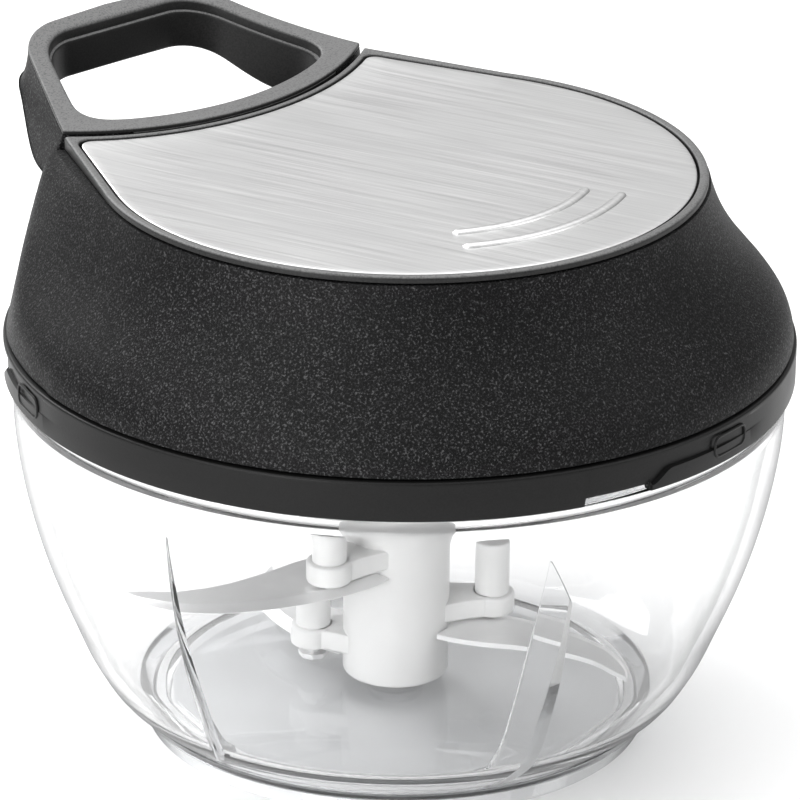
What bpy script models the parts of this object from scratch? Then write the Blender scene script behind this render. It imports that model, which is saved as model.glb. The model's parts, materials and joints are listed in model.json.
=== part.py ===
"""Pull-string garlic mincer: a clear bowl with a three-blade chopper, under a lid that holds
the cord drum, its return spring and a one-way clutch, with a pull handle on the lid's side.

Metres, +Z up. The origin is the centre of the rest face under the bowl. The handle is pulled
along +Y. The lid is unlocked, with its hooks clear of the bowl's lugs.
"""

import math

import bmesh
import bpy
import numpy as np
from mathutils import Matrix, Vector

# Shared clearances and overrun
SEAT_GAP = 0.0003
SEAM_GAP = 0.0008
RUN_GAP = 0.0006
LOCK_GAP = 0.0004
OVERRUN = 0.004
WELD = 0.000001

# Round counts
BIG_STEPS = 48
SMALL_STEPS = 16
TINY_STEPS = 8
RING_STEPS = 60

# Bowl
BOWL_RADIUS = 0.0615
BOWL_HEIGHT = 0.0602
BOWL_WALL = 0.0023
FOOT_RADIUS = 0.0404
FOOT_FLARE = 0.0021
FOOT_HEIGHT = 0.0050
FOOT_WIDTH = 0.0024
FOOT_LIFT = 0.0005
FLOOR_TOP = 0.0060
FLOOR_THICKNESS = 0.0024
FLOOR_RADIUS = 0.0370
FLANGE_EDGE = 0.0005
FLANGE_HEIGHT = 0.0013
RIM_WALL = 0.0022
RIM_HEIGHT = 0.0047
LUG_REACH = 0.0014
LUG_LOW = 0.0026
LUG_HEIGHT = 0.0016
PIN_BOSS_RADIUS = 0.0045
PIN_BOSS_RISE = 0.0014
PIN_RADIUS = 0.0020
PIN_DROP = 0.0262
PAD_GAP = 0.0012
PAD_EDGE = 0.0006
WALL_ROUND = 0.0016
WALL_THICKEN_SHARE = 0.15
FLOOR_BEND_SHARES = (0.55, 0.35)
# Outer wall of the bowl: share of its radius at a share of its height, from the top down
BOWL_WALL_SHARES = (
    (1.000, 0.978), (0.997, 0.870), (0.980, 0.739), (0.951, 0.606), (0.911, 0.473),
    (0.860, 0.341), (0.801, 0.208), (0.757, 0.141), (0.712, 0.100),
)
# Fins inside the bowl: direction in degrees and turn from the radial direction
FIN_DIRECTIONS = (-174.5, -105.0)
FIN_SKEWS = (34.0, 30.0)
FIN_DROP = 0.0112
FIN_FOOT_REACH = 0.0100
FIN_THICKNESS = 0.0016
FIN_SWEEP_SHARE = 1.6
FIN_TIP_SHARE = 0.35

# Lid
LUG_COUNT = 3
LUG_DIRECTION = -101.5
LUG_HALF_ANGLE = 4.6
HOOK_START_ANGLE = 9.0
HOOK_END_ANGLE = 30.0
BAND_HEIGHT = 0.0064
BAND_WALL = 0.0019
BAND_OVERHANG = 0.0014
BAND_STEP = 0.0005
BAND_FLANGE_HEIGHT = 0.0013
HOOK_LIFT = 0.0003
HOOK_HEIGHT = 0.0015
NOTCH_START_ANGLE = -5.6
NOTCH_END_ANGLE = 5.2
NOTCH_RAMP_ANGLE = 9.0
RECESS_LEAD_ANGLE = 0.4
LIP_END_ANGLE = 22.0
NOTCH_RISE = 0.0010
NOTCH_DEPTH = 0.0007
LIP_HEIGHT = 0.0030
LIP_TAPER_SHARE = 0.6
RECESS_TOP_EDGE = 0.0007
LID_HEIGHT = 0.0335
SKIRT_REACH = 0.0148
SKIRT_WALL = 0.0022
SIDE_ANGLE = 64.5
SHOULDER_SWELL = 0.0030
SHOULDER_FULL_ANGLE = 46.0
SHOULDER_END_ANGLE = 76.0
SECTOR_DRAFT = 0.0057
BLEND_WIDTH = 0.0012
# Skirt: share of the way out from the top rim to the band, at a share of the way up
SKIRT_SHARES = (
    (0.00, 1.000), (0.07, 0.985), (0.16, 0.930), (0.27, 0.800), (0.38, 0.630),
    (0.50, 0.445), (0.62, 0.290), (0.75, 0.160), (0.88, 0.065), (1.00, 0.000),
)
# Shoulder swell beside the handle: share of the swell at a share of the way up
SWELL_SHARES = ((0.0, 0.0), (0.25, 0.3), (0.5, 0.7), (0.72, 1.0), (0.88, 0.8), (1.0, 0.1))
DECK_THICKNESS = 0.0015
BEZEL_HEIGHT = 0.0010
BEZEL_WIDTH = 0.0015
BEZEL_SEAM_WIDTH = 0.0010
PLATE_GAP = 0.0004
PLATE_THICKNESS = 0.0006
PLATE_DROP = 0.0002
PLATE_CORNER = 0.0026
RIDGE_INSETS = (0.0182, 0.0123)
RIDGE_HALF_ANGLE = 28.8
RIDGE_HALF_WIDTH = 0.0005
POST_RADIUS = 0.0032
POST_INSET = 0.0142
POST_DIRECTION = 30.0
POST_COUNT = 3
BASE_THICKNESS = 0.0018
BASE_WALL = 0.0016
BASE_DROP = 0.0028
BASE_GUARD = 0.0014
SEAL_HEIGHT = 0.0017
SEAL_WIDTH = 0.0024

# Seam and handle
SEAM_INSET = 0.0144
SEAM_RADIUS = 0.0604
SEAM_WALL = 0.0020
POCKET_DEPTH = 0.0075
TOP_RISE_LEAD = 0.0057
TOP_RISE = 0.0081
HANDLE_OVERHANG = 0.0078
SIDE_STEP = 0.0003
# Handle at each level over the rim's plane: growth of its side, growth of its end, corner radius
HANDLE_LEVELS = (
    (0.0105, -0.0004, -0.0005, 0.0130), (0.0020, 0.0000, 0.0019, 0.0122),
    (-0.0010, 0.0010, 0.0036, 0.0135), (-0.0078, 0.0028, -0.0007, 0.0190),
)
END_BULGE = 0.0005
TAIL_LENGTH = 0.0187
TAIL_RISE = 0.0072
BAR_DEPTH = 0.0044
FRAME_SIDE_WIDTH = 0.0042
FRAME_END_WIDTH = 0.0032
HOLE_CORNER_RADIUS = 0.0092
HOLE_NEAR_CORNER = 0.0060
BEND_ROOM_SHARE = 1.25
FRAME_LIFT = 0.0005
FRAME_THICKNESS = 0.0018
FRAME_EDGE = 0.0006
FRAME_INSET = 0.0016
HOLE_LEDGE = 0.0004
LINING = 0.0012
BAR_HALF_WIDTH = 0.0220
BAR_REACH = 0.0120
SCOOP_START_DROP = 0.0008
SCOOP_LENGTH = 0.0250
SCOOP_FALL = 0.0075

# Cord and drum
CORD_RADIUS = 0.0007
CORD_TURNS = 5
CORD_SLACK = 0.0030
CORD_HEIGHT = 0.0053
CORD_LOOP_POINTS = 24
CORD_LEAD_SHARES = (0.3, 0.6, 0.97)
DRUM_RADIUS = 0.0165
DRUM_WALL = 0.0017
FLANGE_REACH = 0.0055
DRUM_FLANGE = 0.0009
DRUM_DECK_GAP = 0.0006
DRUM_FLOOR = 0.0015
CENTRE_POST_RADIUS = 0.0040
AXLE_RADIUS = 0.0015
SPRING_TURNS = 6
SPRING_LOOP_POINTS = 20
SPRING_THICKNESS = 0.00035
RATCHET_DEPTH = 0.0045
RATCHET_RADIUS = 0.0138
RATCHET_WALL = 0.0022
TOOTH_HEIGHT = 0.0012
TOOTH_COUNT = 12
TOOTH_SHARE = 0.8
DRIVER_DISC_RADIUS = 0.0125
DRIVER_DISC = 0.0016
DRIVER_NECK_RADIUS = 0.0050
PAWL_PIN_RADIUS = 0.0008
PAWL_PITCH_RADIUS = 0.0088
PAWL_THICKNESS = 0.0028
PAWL_HALF_WIDTH = 0.0016
PAWL_TIP_SHARE = 1.86
PAWL_NOSE = 0.0019
# Back of a pawl: shares of its half-width outwards and around from its pin
PAWL_BACK_SHARES = ((-1.0, 0.6), (-1.0, -0.7), (0.0, -1.2), (0.8, -0.4))
STEM_RADIUS = 0.0055
STEM_COLLAR_RADIUS = 0.0070
STEM_COLLAR = 0.0014
COLLAR_LIFT = 0.0014
BUSH_WALL = 0.0018
BUSH_HEIGHT = 0.0030
BUSH_DROP = 0.0003
EYELET_BORE = 0.0012
EYELET_WALL = 0.0005
EYELET_FLANGE_RADIUS = 0.0022
EYELET_FLANGE = 0.0008
FERRULE_RADIUS = 0.0012
FERRULE_HEIGHT = 0.0024
FERRULE_OFFSET = 0.0022

# Chopper
HUB_RADIUS = 0.0086
HUB_ROUND = 0.0016
HUB_BEVEL_SHARE = 0.3
HUB_DROP = 0.0025
SOCKET_RADIUS = 0.0058
SOCKET_DEPTH = 0.0080
SPLINE_COUNT = 3
SPLINE_RADIUS = 0.0052
SPLINE_CORE_RADIUS = 0.0034
SPLINE_HALF_ANGLE = 21.0
SPLINE_LENGTH = 0.0068
RIB_HALF_ANGLE = 15.0
RIB_RADIUS = 0.0042
BLADE_NAMES = ("upper", "middle", "lower")
BLADE_DIRECTIONS = (157.0, 286.0, 81.0)
BLADE_RISES = (0.0210, 0.0096, 0.0042)
BLADE_PIN_ANGLES = (27.0, 40.0, 50.0)
BLADE_PIN_PITCHES = (0.0160, 0.0158, 0.0135)
BLADE_PIN_HEIGHTS = (0.0090, 0.0090, 0.0052)
BLADE_THICKNESS = 0.0008
BLADE_EDGE = 0.00018
BLADE_GRIND = 0.0022
GRIND_FADE_SHARE = 0.4
BLADE_LENGTHS = (0.0460, 0.0420, 0.0370)
BLADE_ROOT_RADIUS = 0.0092
# Cutting edge and back of a blade: share of the way from hub to tip, degrees from the tip
BLADE_EDGE_SHARES = (
    (0.00, 62.0), (0.09, 53.0), (0.20, 43.0), (0.33, 35.0), (0.46, 28.5), (0.60, 22.8),
    (0.73, 17.8), (0.83, 13.2), (0.91, 8.0), (0.97, 3.6), (1.00, 0.0),
)
BLADE_BACK_SHARES = (
    (0.91, 1.5), (0.78, 4.2), (0.60, 5.2), (0.41, 3.0), (0.23, -3.0), (0.09, -9.5),
    (0.00, -14.0), (0.00, 4.0), (0.00, 23.0), (0.00, 42.0),
)
ARM_HEIGHT = 0.0034
ARM_HALF_WIDTH = 0.0031
COLLAR_RADIUS = 0.0037
BLADE_PIN_RADIUS = 0.0028
RIVET_SHANK_RADIUS = 0.0011
RIVET_HEAD_RADIUS = 0.0024
RIVET_HEAD = 0.0010

# Screws
SCREW_HEAD_RADIUS = 0.0025
SCREW_HEAD_HEIGHT = 0.0015
SCREW_RADIUS = 0.0011
SCREW_LENGTH = 0.0090
DRIVE_SLOT_SHARE = 0.5
HANDLE_SCREW_INSET = 0.0198
HANDLE_SCREW_MARGIN = 0.0027
HANDLE_SCREW_HEAD_RADIUS = 0.0017

# Radii and places that follow from the sizes above
FLANGE_RADIUS = BOWL_RADIUS + FLANGE_EDGE
BAND_RADIUS = BOWL_RADIUS + BAND_OVERHANG
RIM_RADIUS = BAND_RADIUS - BAND_WALL - LOCK_GAP - LUG_REACH
POST_PITCH_RADIUS = RIM_RADIUS - POST_INSET
LUG_RADIUS = RIM_RADIUS + LUG_REACH
HOOK_RADIUS = RIM_RADIUS + LOCK_GAP
BAND_FLANGE_RADIUS = RIM_RADIUS + SEAT_GAP * 2
SKIRT_RADIUS = BAND_RADIUS - BAND_STEP
BASE_RADIUS = SKIRT_RADIUS - SKIRT_WALL - LOCK_GAP
PAD_RADIUS = FOOT_RADIUS - FOOT_WIDTH - PAD_GAP
RIM_TOP_RADIUS = BAND_RADIUS - SKIRT_REACH
RIDGE_RADII = [RIM_TOP_RADIUS - inset for inset in RIDGE_INSETS]
SEAM_Y = RIM_TOP_RADIUS - SEAM_INSET
SEAM_CENTRE_Y = SEAM_Y + SEAM_RADIUS
HANDLE_RADIUS = SEAM_RADIUS - SEAM_GAP
HANDLE_SIDE = RIM_TOP_RADIUS - SIDE_STEP
HANDLE_SCREW_X = HANDLE_SIDE - HANDLE_SCREW_INSET
HANDLE_END = BAND_RADIUS + HANDLE_OVERHANG
HOLE_NEAR_RADIUS = HANDLE_RADIUS - BAR_DEPTH
HOLE_SIDE = HANDLE_SIDE - FRAME_SIDE_WIDTH
HOLE_END = HANDLE_END - FRAME_END_WIDTH
TOP_RISE_START = SEAM_Y - TOP_RISE_LEAD

# Heights that follow from the sizes above
RIM_TOP = BOWL_HEIGHT + RIM_HEIGHT
BAND_LOW = BOWL_HEIGHT + SEAT_GAP
BAND_TOP = BAND_LOW + BAND_HEIGHT
SKIRT_LOW = BAND_TOP + SEAT_GAP
RIM_PLANE = BAND_LOW + LID_HEIGHT
DECK_TOP = RIM_PLANE - BEZEL_HEIGHT - SEAT_GAP
DECK_LOW = DECK_TOP - DECK_THICKNESS
POCKET_FLOOR = RIM_PLANE - POCKET_DEPTH
CORD_Z = RIM_PLANE - CORD_HEIGHT
BASE_FLANGE_LOW = SKIRT_LOW
BASE_LOW = BASE_FLANGE_LOW - BASE_DROP
BASE_TOP = BASE_LOW + BASE_THICKNESS
DRUM_TOP = DECK_LOW - DRUM_DECK_GAP
DRUM_SPACE_TOP = DRUM_TOP - DRUM_FLANGE
BUSH_LOW = BASE_LOW - BUSH_DROP
BUSH_TOP = BUSH_LOW + BUSH_HEIGHT
DRIVER_DISC_LOW = BUSH_TOP + STEM_COLLAR + COLLAR_LIFT
DRIVER_DISC_TOP = DRIVER_DISC_LOW + DRIVER_DISC
RATCHET_LOW = DRIVER_DISC_TOP - SEAT_GAP
DRUM_LOW = RATCHET_LOW + RATCHET_DEPTH
DRUM_SPACE_LOW = DRUM_LOW + DRUM_FLOOR
CORD_PITCH = (DRUM_SPACE_TOP - DRUM_SPACE_LOW - CORD_SLACK) / CORD_TURNS
PIN_TOP = BOWL_HEIGHT - PIN_DROP
FIN_TOP = BOWL_HEIGHT - FIN_DROP
BLADE_LEVELS = [FLOOR_TOP + rise for rise in BLADE_RISES]
HUB_TOP = BUSH_LOW - HUB_DROP
SOCKET_LOW = HUB_TOP - SOCKET_DEPTH
SPLINE_LOW = SOCKET_LOW + RUN_GAP
HUB_LOW = FLOOR_TOP + PIN_BOSS_RISE + SEAT_GAP


def clear_scene():
    for item in list(bpy.data.objects):
        bpy.data.objects.remove(item, do_unlink=True)


def new_collection(name):
    made = bpy.data.collections.new(name)
    bpy.context.scene.collection.children.link(made)
    return made


clear_scene()
PARTS = new_collection("garlic_mincer")
CUTTERS = new_collection("cutters")


def material(name, colour, roughness, metallic=0.0, alpha=1.0):
    made = bpy.data.materials.new(name)
    made.use_nodes = True
    shader = made.node_tree.nodes["Principled BSDF"]
    shader.inputs["Base Color"].default_value = (*colour, 1.0)
    shader.inputs["Roughness"].default_value = roughness
    shader.inputs["Metallic"].default_value = metallic
    shader.inputs["Alpha"].default_value = alpha
    return made


CLEAR = material("clear_plastic", (0.92, 0.94, 0.95), 0.05, alpha=0.35)
SPECKLED = material("speckled_black_plastic", (0.025, 0.025, 0.027), 0.6)
SMOOTH = material("smooth_grey_plastic", (0.06, 0.06, 0.065), 0.35)
BRUSHED = material("brushed_steel", (0.62, 0.62, 0.61), 0.3, 1.0)
BRIGHT = material("bright_steel", (0.7, 0.71, 0.72), 0.18, 1.0)
WHITE = material("white_plastic", (0.9, 0.9, 0.89), 0.35)
RUBBER = material("grey_silicone", (0.6, 0.61, 0.62), 0.7)
SEAL_WHITE = material("white_silicone", (0.85, 0.85, 0.84), 0.6)
INNER = material("inner_black_plastic", (0.04, 0.04, 0.042), 0.5)
BRASS = material("bush_brass", (0.75, 0.58, 0.28), 0.3, 1.0)
CORD = material("cord_white", (0.85, 0.85, 0.82), 0.8)


def add_object(name, mesh, look=None, place=None):
    made = bpy.data.objects.new(name, mesh)
    if look:
        PARTS.objects.link(made)
        mesh.materials.clear()
        mesh.materials.append(look)
        mesh.shade_smooth()
        mesh.set_sharp_from_angle(angle=math.radians(32))
    else:
        CUTTERS.objects.link(made)
        made.hide_render = True
        made.display_type = "WIRE"
    if place:
        made.location = place
    return made


def turned(name, profile, look=None, steps=BIG_STEPS, place=None):
    """A turned solid: the closed profile of (radius, height) runs down its outer side."""
    mesh = bpy.data.meshes.new(name)
    points = [(radius, 0, height) for radius, height in profile]
    count = len(points)
    closed = all(radius > WELD for radius, _ in profile)
    edges = [(i, i + 1) for i in range(count - 1)]
    if closed:
        edges.append((count - 1, 0))
    mesh.from_pydata(points, edges, [])
    made = add_object(name, mesh, None)
    screw = made.modifiers.new("turn", "SCREW")
    screw.steps = steps
    screw.render_steps = steps
    screw.use_merge_vertices = True
    screw.merge_threshold = WELD
    return made_solid(made, name, look, place)


def made_solid(source, name, look=None, place=None):
    """The source's evaluated shape as a welded mesh object of its own; the source is removed."""
    bpy.context.view_layer.update()
    graph = bpy.context.evaluated_depsgraph_get()
    mesh = bpy.data.meshes.new_from_object(source.evaluated_get(graph), depsgraph=graph)
    mesh.transform(source.matrix_world)
    shape = bmesh.new()
    shape.from_mesh(mesh)
    bmesh.ops.remove_doubles(shape, verts=shape.verts, dist=WELD)
    shape.to_mesh(mesh)
    shape.free()
    bpy.data.objects.remove(source, do_unlink=True)
    mesh.name = name
    return add_object(name, mesh, look, place)


def loft(name, rings, look=None, place=None):
    """A solid through rings of equal count, each counter-clockwise seen from the last ring."""
    shape = bmesh.new()
    rows = [[shape.verts.new(point) for point in ring] for ring in rings]
    count = len(rows[0])
    for low, high in zip(rows, rows[1:]):
        for i in range(count):
            j = (i + 1) % count
            shape.faces.new((low[i], low[j], high[j], high[i]))
    shape.faces.new(list(reversed(rows[0])))
    shape.faces.new(rows[-1])
    mesh = bpy.data.meshes.new(name)
    shape.to_mesh(mesh)
    shape.free()
    return add_object(name, mesh, look, place)


def flat(name, outlines, low, high, look=None, place=None):
    """A flat piece between two heights, from closed outlines; an inner outline is a hole."""
    curve = bpy.data.curves.new(name, "CURVE")
    curve.dimensions = "2D"
    curve.fill_mode = "BOTH"
    curve.extrude = (high - low) / 2
    for outline in outlines:
        spline = curve.splines.new("POLY")
        spline.points.add(len(outline) - 1)
        for point, (x, y) in zip(spline.points, outline):
            point.co = (x, y, 0, 1)
        spline.use_cyclic_u = True
    source = bpy.data.objects.new(name, curve)
    CUTTERS.objects.link(source)
    source.location = (0, 0, (low + high) / 2)
    return made_solid(source, name, look, place)


def side_slab(name, outline):
    """A slab across the handle from its side outline of (y, z), wider than the lid."""
    half = BAND_RADIUS + OVERRUN
    rings = [[(x, y, z) for y, z in outline] for x in (-half, half)]
    return loft(name, rings)


def tube(name, points, radius, look=None, sides_level=1):
    curve = bpy.data.curves.new(name, "CURVE")
    curve.dimensions = "3D"
    curve.bevel_depth = radius
    curve.bevel_resolution = sides_level
    curve.use_fill_caps = True
    spline = curve.splines.new("POLY")
    spline.points.add(len(points) - 1)
    for point, place in zip(spline.points, points):
        point.co = (*place, 1)
    source = bpy.data.objects.new(name, curve)
    CUTTERS.objects.link(source)
    return made_solid(source, name, look)


def combine(target, tool, operation):
    step = target.modifiers.new(operation.lower(), "BOOLEAN")
    step.operation = operation
    step.object = tool
    step.solver = "EXACT"
    if tool.name in PARTS.objects:
        return
    tool.hide_render = True
    tool.display_type = "WIRE"


def cut(target, *tools):
    for tool in tools:
        combine(target, tool, "DIFFERENCE")


def join(target, *tools):
    for tool in tools:
        combine(target, tool, "UNION")


def keep_inside(target, *tools):
    for tool in tools:
        combine(target, tool, "INTERSECT")


def polar(radius, degrees):
    angle = math.radians(degrees)
    return radius * math.cos(angle), radius * math.sin(angle)


def arc(radius, start, end, count, centre=(0, 0)):
    """Points on an arc between two directions in degrees."""
    made = []
    for i in range(count):
        x, y = polar(radius, start + (end - start) * i / (count - 1))
        made.append((centre[0] + x, centre[1] + y))
    return made


def circle(radius, centre=(0, 0), count=SMALL_STEPS):
    return arc(radius, 0, 360 - 360 / count, count, centre)


def sector(inner, outer, start, end, count=8):
    return arc(outer, start, end, count) + arc(inner, end, start, count)


def round_bar(name, radius, low, high, place, look=None, count=SMALL_STEPS):
    return flat(name, [circle(radius, place, count)], low, high, look)


def share_curve(shares, position):
    """A smooth value between hand-set shares, by a cubic through them."""
    at = [pair[0] for pair in shares]
    value = [pair[1] for pair in shares]
    slope = np.gradient(value, at)
    i = min(max(int(np.searchsorted(at, position)) - 1, 0), len(at) - 2)
    width = at[i + 1] - at[i]
    t = min(max((position - at[i]) / width, 0.0), 1.0)
    before = (1 + 2 * t) * (1 - t) ** 2 * value[i] + t * (1 - t) ** 2 * width * slope[i]
    after = t * t * (3 - 2 * t) * value[i + 1] - t * t * (1 - t) * width * slope[i + 1]
    return float(before + after)


def smooth_step(position):
    t = min(max(position, 0.0), 1.0)
    return t * t * (3 - 2 * t)


def soft_min(a, b):
    """The smaller of two radii, with their crossing rounded over BLEND_WIDTH."""
    h = min(max((1 + (b - a) / BLEND_WIDTH) / 2, 0.0), 1.0)
    return b * (1 - h) + a * h - BLEND_WIDTH * h * (1 - h)


# Shapes that the lid and the handle share


def skirt_radius(height):
    share = share_curve(SKIRT_SHARES, (height - SKIRT_LOW) / (RIM_PLANE - SKIRT_LOW))
    return RIM_TOP_RADIUS + (SKIRT_RADIUS - RIM_TOP_RADIUS) * share


def side_radius(radius, off_axis):
    """Reach of the rim where its straight side runs on towards the handle."""
    turn = min(max(SIDE_ANGLE - off_axis, 0), SIDE_ANGLE)
    return radius / math.cos(math.radians(turn))


def lid_radius(height, direction):
    off_axis = abs((direction - 90 + 180) % 360 - 180)
    up = (height - SKIRT_LOW) / (RIM_PLANE - SKIRT_LOW)
    past = (off_axis - SHOULDER_FULL_ANGLE) / (SHOULDER_END_ANGLE - SHOULDER_FULL_ANGLE)
    swell = SHOULDER_SWELL * share_curve(SWELL_SHARES, up) * (1 - smooth_step(past))
    reach = side_radius(skirt_radius(height), off_axis) + swell
    limit = SKIRT_RADIUS - SECTOR_DRAFT * up * (1 - smooth_step(past))
    return soft_min(reach, limit) if off_axis < SHOULDER_END_ANGLE else min(reach, limit)


def top_height(y):
    """Height of the lid's and the handle's common top, which sweeps up towards the handle's end."""
    t = max(y - TOP_RISE_START, 0) / (HANDLE_END - TOP_RISE_START)
    return RIM_PLANE + TOP_RISE * t * t


def tail_height(y):
    t = 1 + (y - HANDLE_END) / TAIL_LENGTH
    return POCKET_FLOOR + SEAT_GAP + TAIL_RISE * smooth_step(t)


def side_line_x(radius, y):
    """Half-width of the straight side at y, tangent to a rim of this radius."""
    slope = math.radians(SIDE_ANGLE)
    return (radius - y * math.cos(slope)) / math.sin(slope)


def seam_corner(radius, seam):
    """Angle at the seam's centre where the seam arc meets the straight side."""
    low, high = 0.0, 80.0
    for _ in range(40):
        middle = (low + high) / 2
        x = seam * math.sin(math.radians(middle))
        y = SEAM_CENTRE_Y - seam * math.cos(math.radians(middle))
        if x < side_line_x(radius, y):
            low = middle
        else:
            high = middle
    return low


def soften(points, corner, reach):
    """Points with the corner at an index replaced by a smooth bend of this reach."""
    here = Vector(points[corner])
    before = Vector(points[corner - 1])
    after = Vector(points[(corner + 1) % len(points)])
    start = here + (before - here).normalized() * reach
    end = here + (after - here).normalized() * reach
    bend = []
    for i in range(6):
        t = i / 5
        place = start * (1 - t) ** 2 + here * 2 * t * (1 - t) + end * t * t
        bend.append((place.x, place.y))
    return points[:corner] + bend + points[corner + 1:]


def rim_outline(inset, seam_inset, corner):
    """Outline of the lid's top inside the rim by an inset: round, straight sides, seam arc."""
    radius = RIM_TOP_RADIUS - inset
    seam = SEAM_RADIUS + seam_inset
    tangent = 90 - SIDE_ANGLE
    around = arc(radius, 180 - tangent, 360 + tangent, 37)
    end = seam_corner(radius, seam)
    trim = math.degrees(corner / seam) * BEND_ROOM_SHARE
    ends = arc(seam, 270 + end, 270 - end, 2, (0, SEAM_CENTRE_Y))
    between = arc(seam, 270 + end - trim, 270 - end + trim, 21, (0, SEAM_CENTRE_Y))
    outline = around + [ends[0]] + between + [ends[1]]
    outline = soften(outline, len(outline) - 1, corner)
    return soften(outline, len(around), corner)


def round_end(side, end, corner, inset, steps):
    """Right half of a rounded end at y = end, tangent to the straight side; all inset alike."""
    lean = math.radians(SIDE_ANGLE)
    y = end - corner
    x = (side - corner - y * math.cos(lean)) / math.sin(lean)
    return arc(corner - inset, 90 - SIDE_ANGLE, 87, steps, (x, y))


def handle_outline(level, inset=0.0):
    """Outline of the handle at one level: two straight sides and a rounded end."""
    _, side_growth, end_growth, corner = level
    side = HANDLE_SIDE + side_growth
    end = HANDLE_END + end_growth
    right = round_end(side, end, corner, inset, 9)
    start_y = TOP_RISE_START - OVERRUN
    right = [(side_line_x(side - inset, start_y), start_y)] + right
    left = [(-x, y) for x, y in reversed(right)]
    return right + [(0, end - inset + END_BULGE)] + left


def hole_outline(grow):
    """Outline of the finger hole, larger by grow all round."""
    near = HOLE_NEAR_RADIUS + grow
    side = HOLE_SIDE + grow
    far = round_end(HOLE_SIDE, HOLE_END, HOLE_CORNER_RADIUS, -grow, 8)
    far += [(-x, y) for x, y in reversed(far)]
    end = seam_corner(side, near)
    inside = end - math.degrees(HOLE_NEAR_CORNER / near) * BEND_ROOM_SHARE
    between = arc(near, 270 - inside, 270 + inside, 13, (0, SEAM_CENTRE_Y))
    ends = arc(near, 270 - end, 270 + end, 2, (0, SEAM_CENTRE_Y))
    outline = far + [ends[0]] + between + [ends[1]]
    outline = soften(outline, len(outline) - 1, HOLE_NEAR_CORNER)
    return soften(outline, len(far), HOLE_NEAR_CORNER)


def seam_disc(name, radius, low, high):
    return flat(name, [circle(radius, (0, SEAM_CENTRE_Y), BIG_STEPS * 2)], low, high)


def scoop(name, grow, drop):
    """The finger space under the hole: its outline above a floor that falls outwards."""
    tool = flat(name, [hole_outline(grow)], BAND_LOW, RIM_PLANE + TOP_RISE + OVERRUN)
    start_y = SEAM_CENTRE_Y - HOLE_NEAR_RADIUS - OVERRUN
    end_y = HANDLE_END + OVERRUN
    start_z = POCKET_FLOOR - SCOOP_START_DROP - drop
    fall = SCOOP_FALL / SCOOP_LENGTH
    high = RIM_PLANE + TOP_RISE + OVERRUN * 2
    floor = [(start_y, start_z), (end_y, start_z - fall * (end_y - start_y))]
    keep_inside(tool, side_slab(name + "_slab", floor + [(end_y, high), (start_y, high)]))
    return tool


# The bowl and what stands in it


def bowl_outer_profile():
    points = []
    count = 11
    top = BOWL_WALL_SHARES[0][1]
    low = BOWL_WALL_SHARES[-1][1]
    heights = [(h, r) for r, h in reversed(BOWL_WALL_SHARES)]
    for i in range(count):
        share = top + (low - top) * i / (count - 1)
        points.append((BOWL_RADIUS * share_curve(heights, share), BOWL_HEIGHT * share))
    return points


def make_bowl():
    outer = bowl_outer_profile()
    outside = [
        (RIM_RADIUS, RIM_TOP), (RIM_RADIUS, BOWL_HEIGHT), (FLANGE_RADIUS, BOWL_HEIGHT),
        (FLANGE_RADIUS, BOWL_HEIGHT - FLANGE_HEIGHT),
    ]
    outside += outer[1:]
    outside += [(FOOT_RADIUS + FOOT_FLARE, FOOT_HEIGHT), (FOOT_RADIUS, FOOT_LIFT)]
    under = [
        (FOOT_RADIUS - FOOT_WIDTH, FOOT_LIFT), (FOOT_RADIUS - FOOT_WIDTH, FLOOR_TOP - FLOOR_THICKNESS),
        (0, FLOOR_TOP - FLOOR_THICKNESS),
    ]
    inner = []
    for radius, height in reversed(outer):
        if height > FLOOR_TOP + BOWL_WALL + WALL_ROUND:
            low = max(0.0, 1 - (height - FLOOR_TOP) / (BOWL_WALL + WALL_ROUND) / 3)
            inner.append((radius - BOWL_WALL * (1 + WALL_THICKEN_SHARE * low), height))
    bend_out, bend_up = FLOOR_BEND_SHARES
    bend = FLOOR_RADIUS + (inner[0][0] - FLOOR_RADIUS) * bend_out
    inside = [(0, FLOOR_TOP), (FLOOR_RADIUS, FLOOR_TOP), (bend, FLOOR_TOP + BOWL_WALL * bend_up)]
    inside += inner[:-1]
    inside += [(RIM_RADIUS - RIM_WALL, BOWL_HEIGHT), (RIM_RADIUS - RIM_WALL, RIM_TOP)]
    profile = inside + outside + under
    bowl = turned("bowl", profile, CLEAR)
    boss = round_bar("pin_boss", PIN_BOSS_RADIUS, FLOOR_TOP - FLOOR_THICKNESS / 2,
                     FLOOR_TOP + PIN_BOSS_RISE, (0, 0))
    join(bowl, boss)
    low = BOWL_HEIGHT + LUG_LOW
    for i in range(LUG_COUNT):
        middle = LUG_DIRECTION + i * 360 / LUG_COUNT
        outline = sector(RIM_RADIUS - RIM_WALL / 2, LUG_RADIUS,
                         middle - LUG_HALF_ANGLE, middle + LUG_HALF_ANGLE)
        join(bowl, flat(f"lug_{i + 1}", [outline], low, low + LUG_HEIGHT))
    for i, (direction, skew) in enumerate(zip(FIN_DIRECTIONS, FIN_SKEWS)):
        join(bowl, make_fin(f"fin_{i + 1}", direction, skew, outer))
    cut(bowl, round_bar("pin_bore", PIN_RADIUS + SEAT_GAP, FLOOR_TOP - FLOOR_THICKNESS / 2 + SEAT_GAP,
                        FLOOR_TOP + PIN_BOSS_RISE + OVERRUN, (0, 0)))
    return bowl


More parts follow.
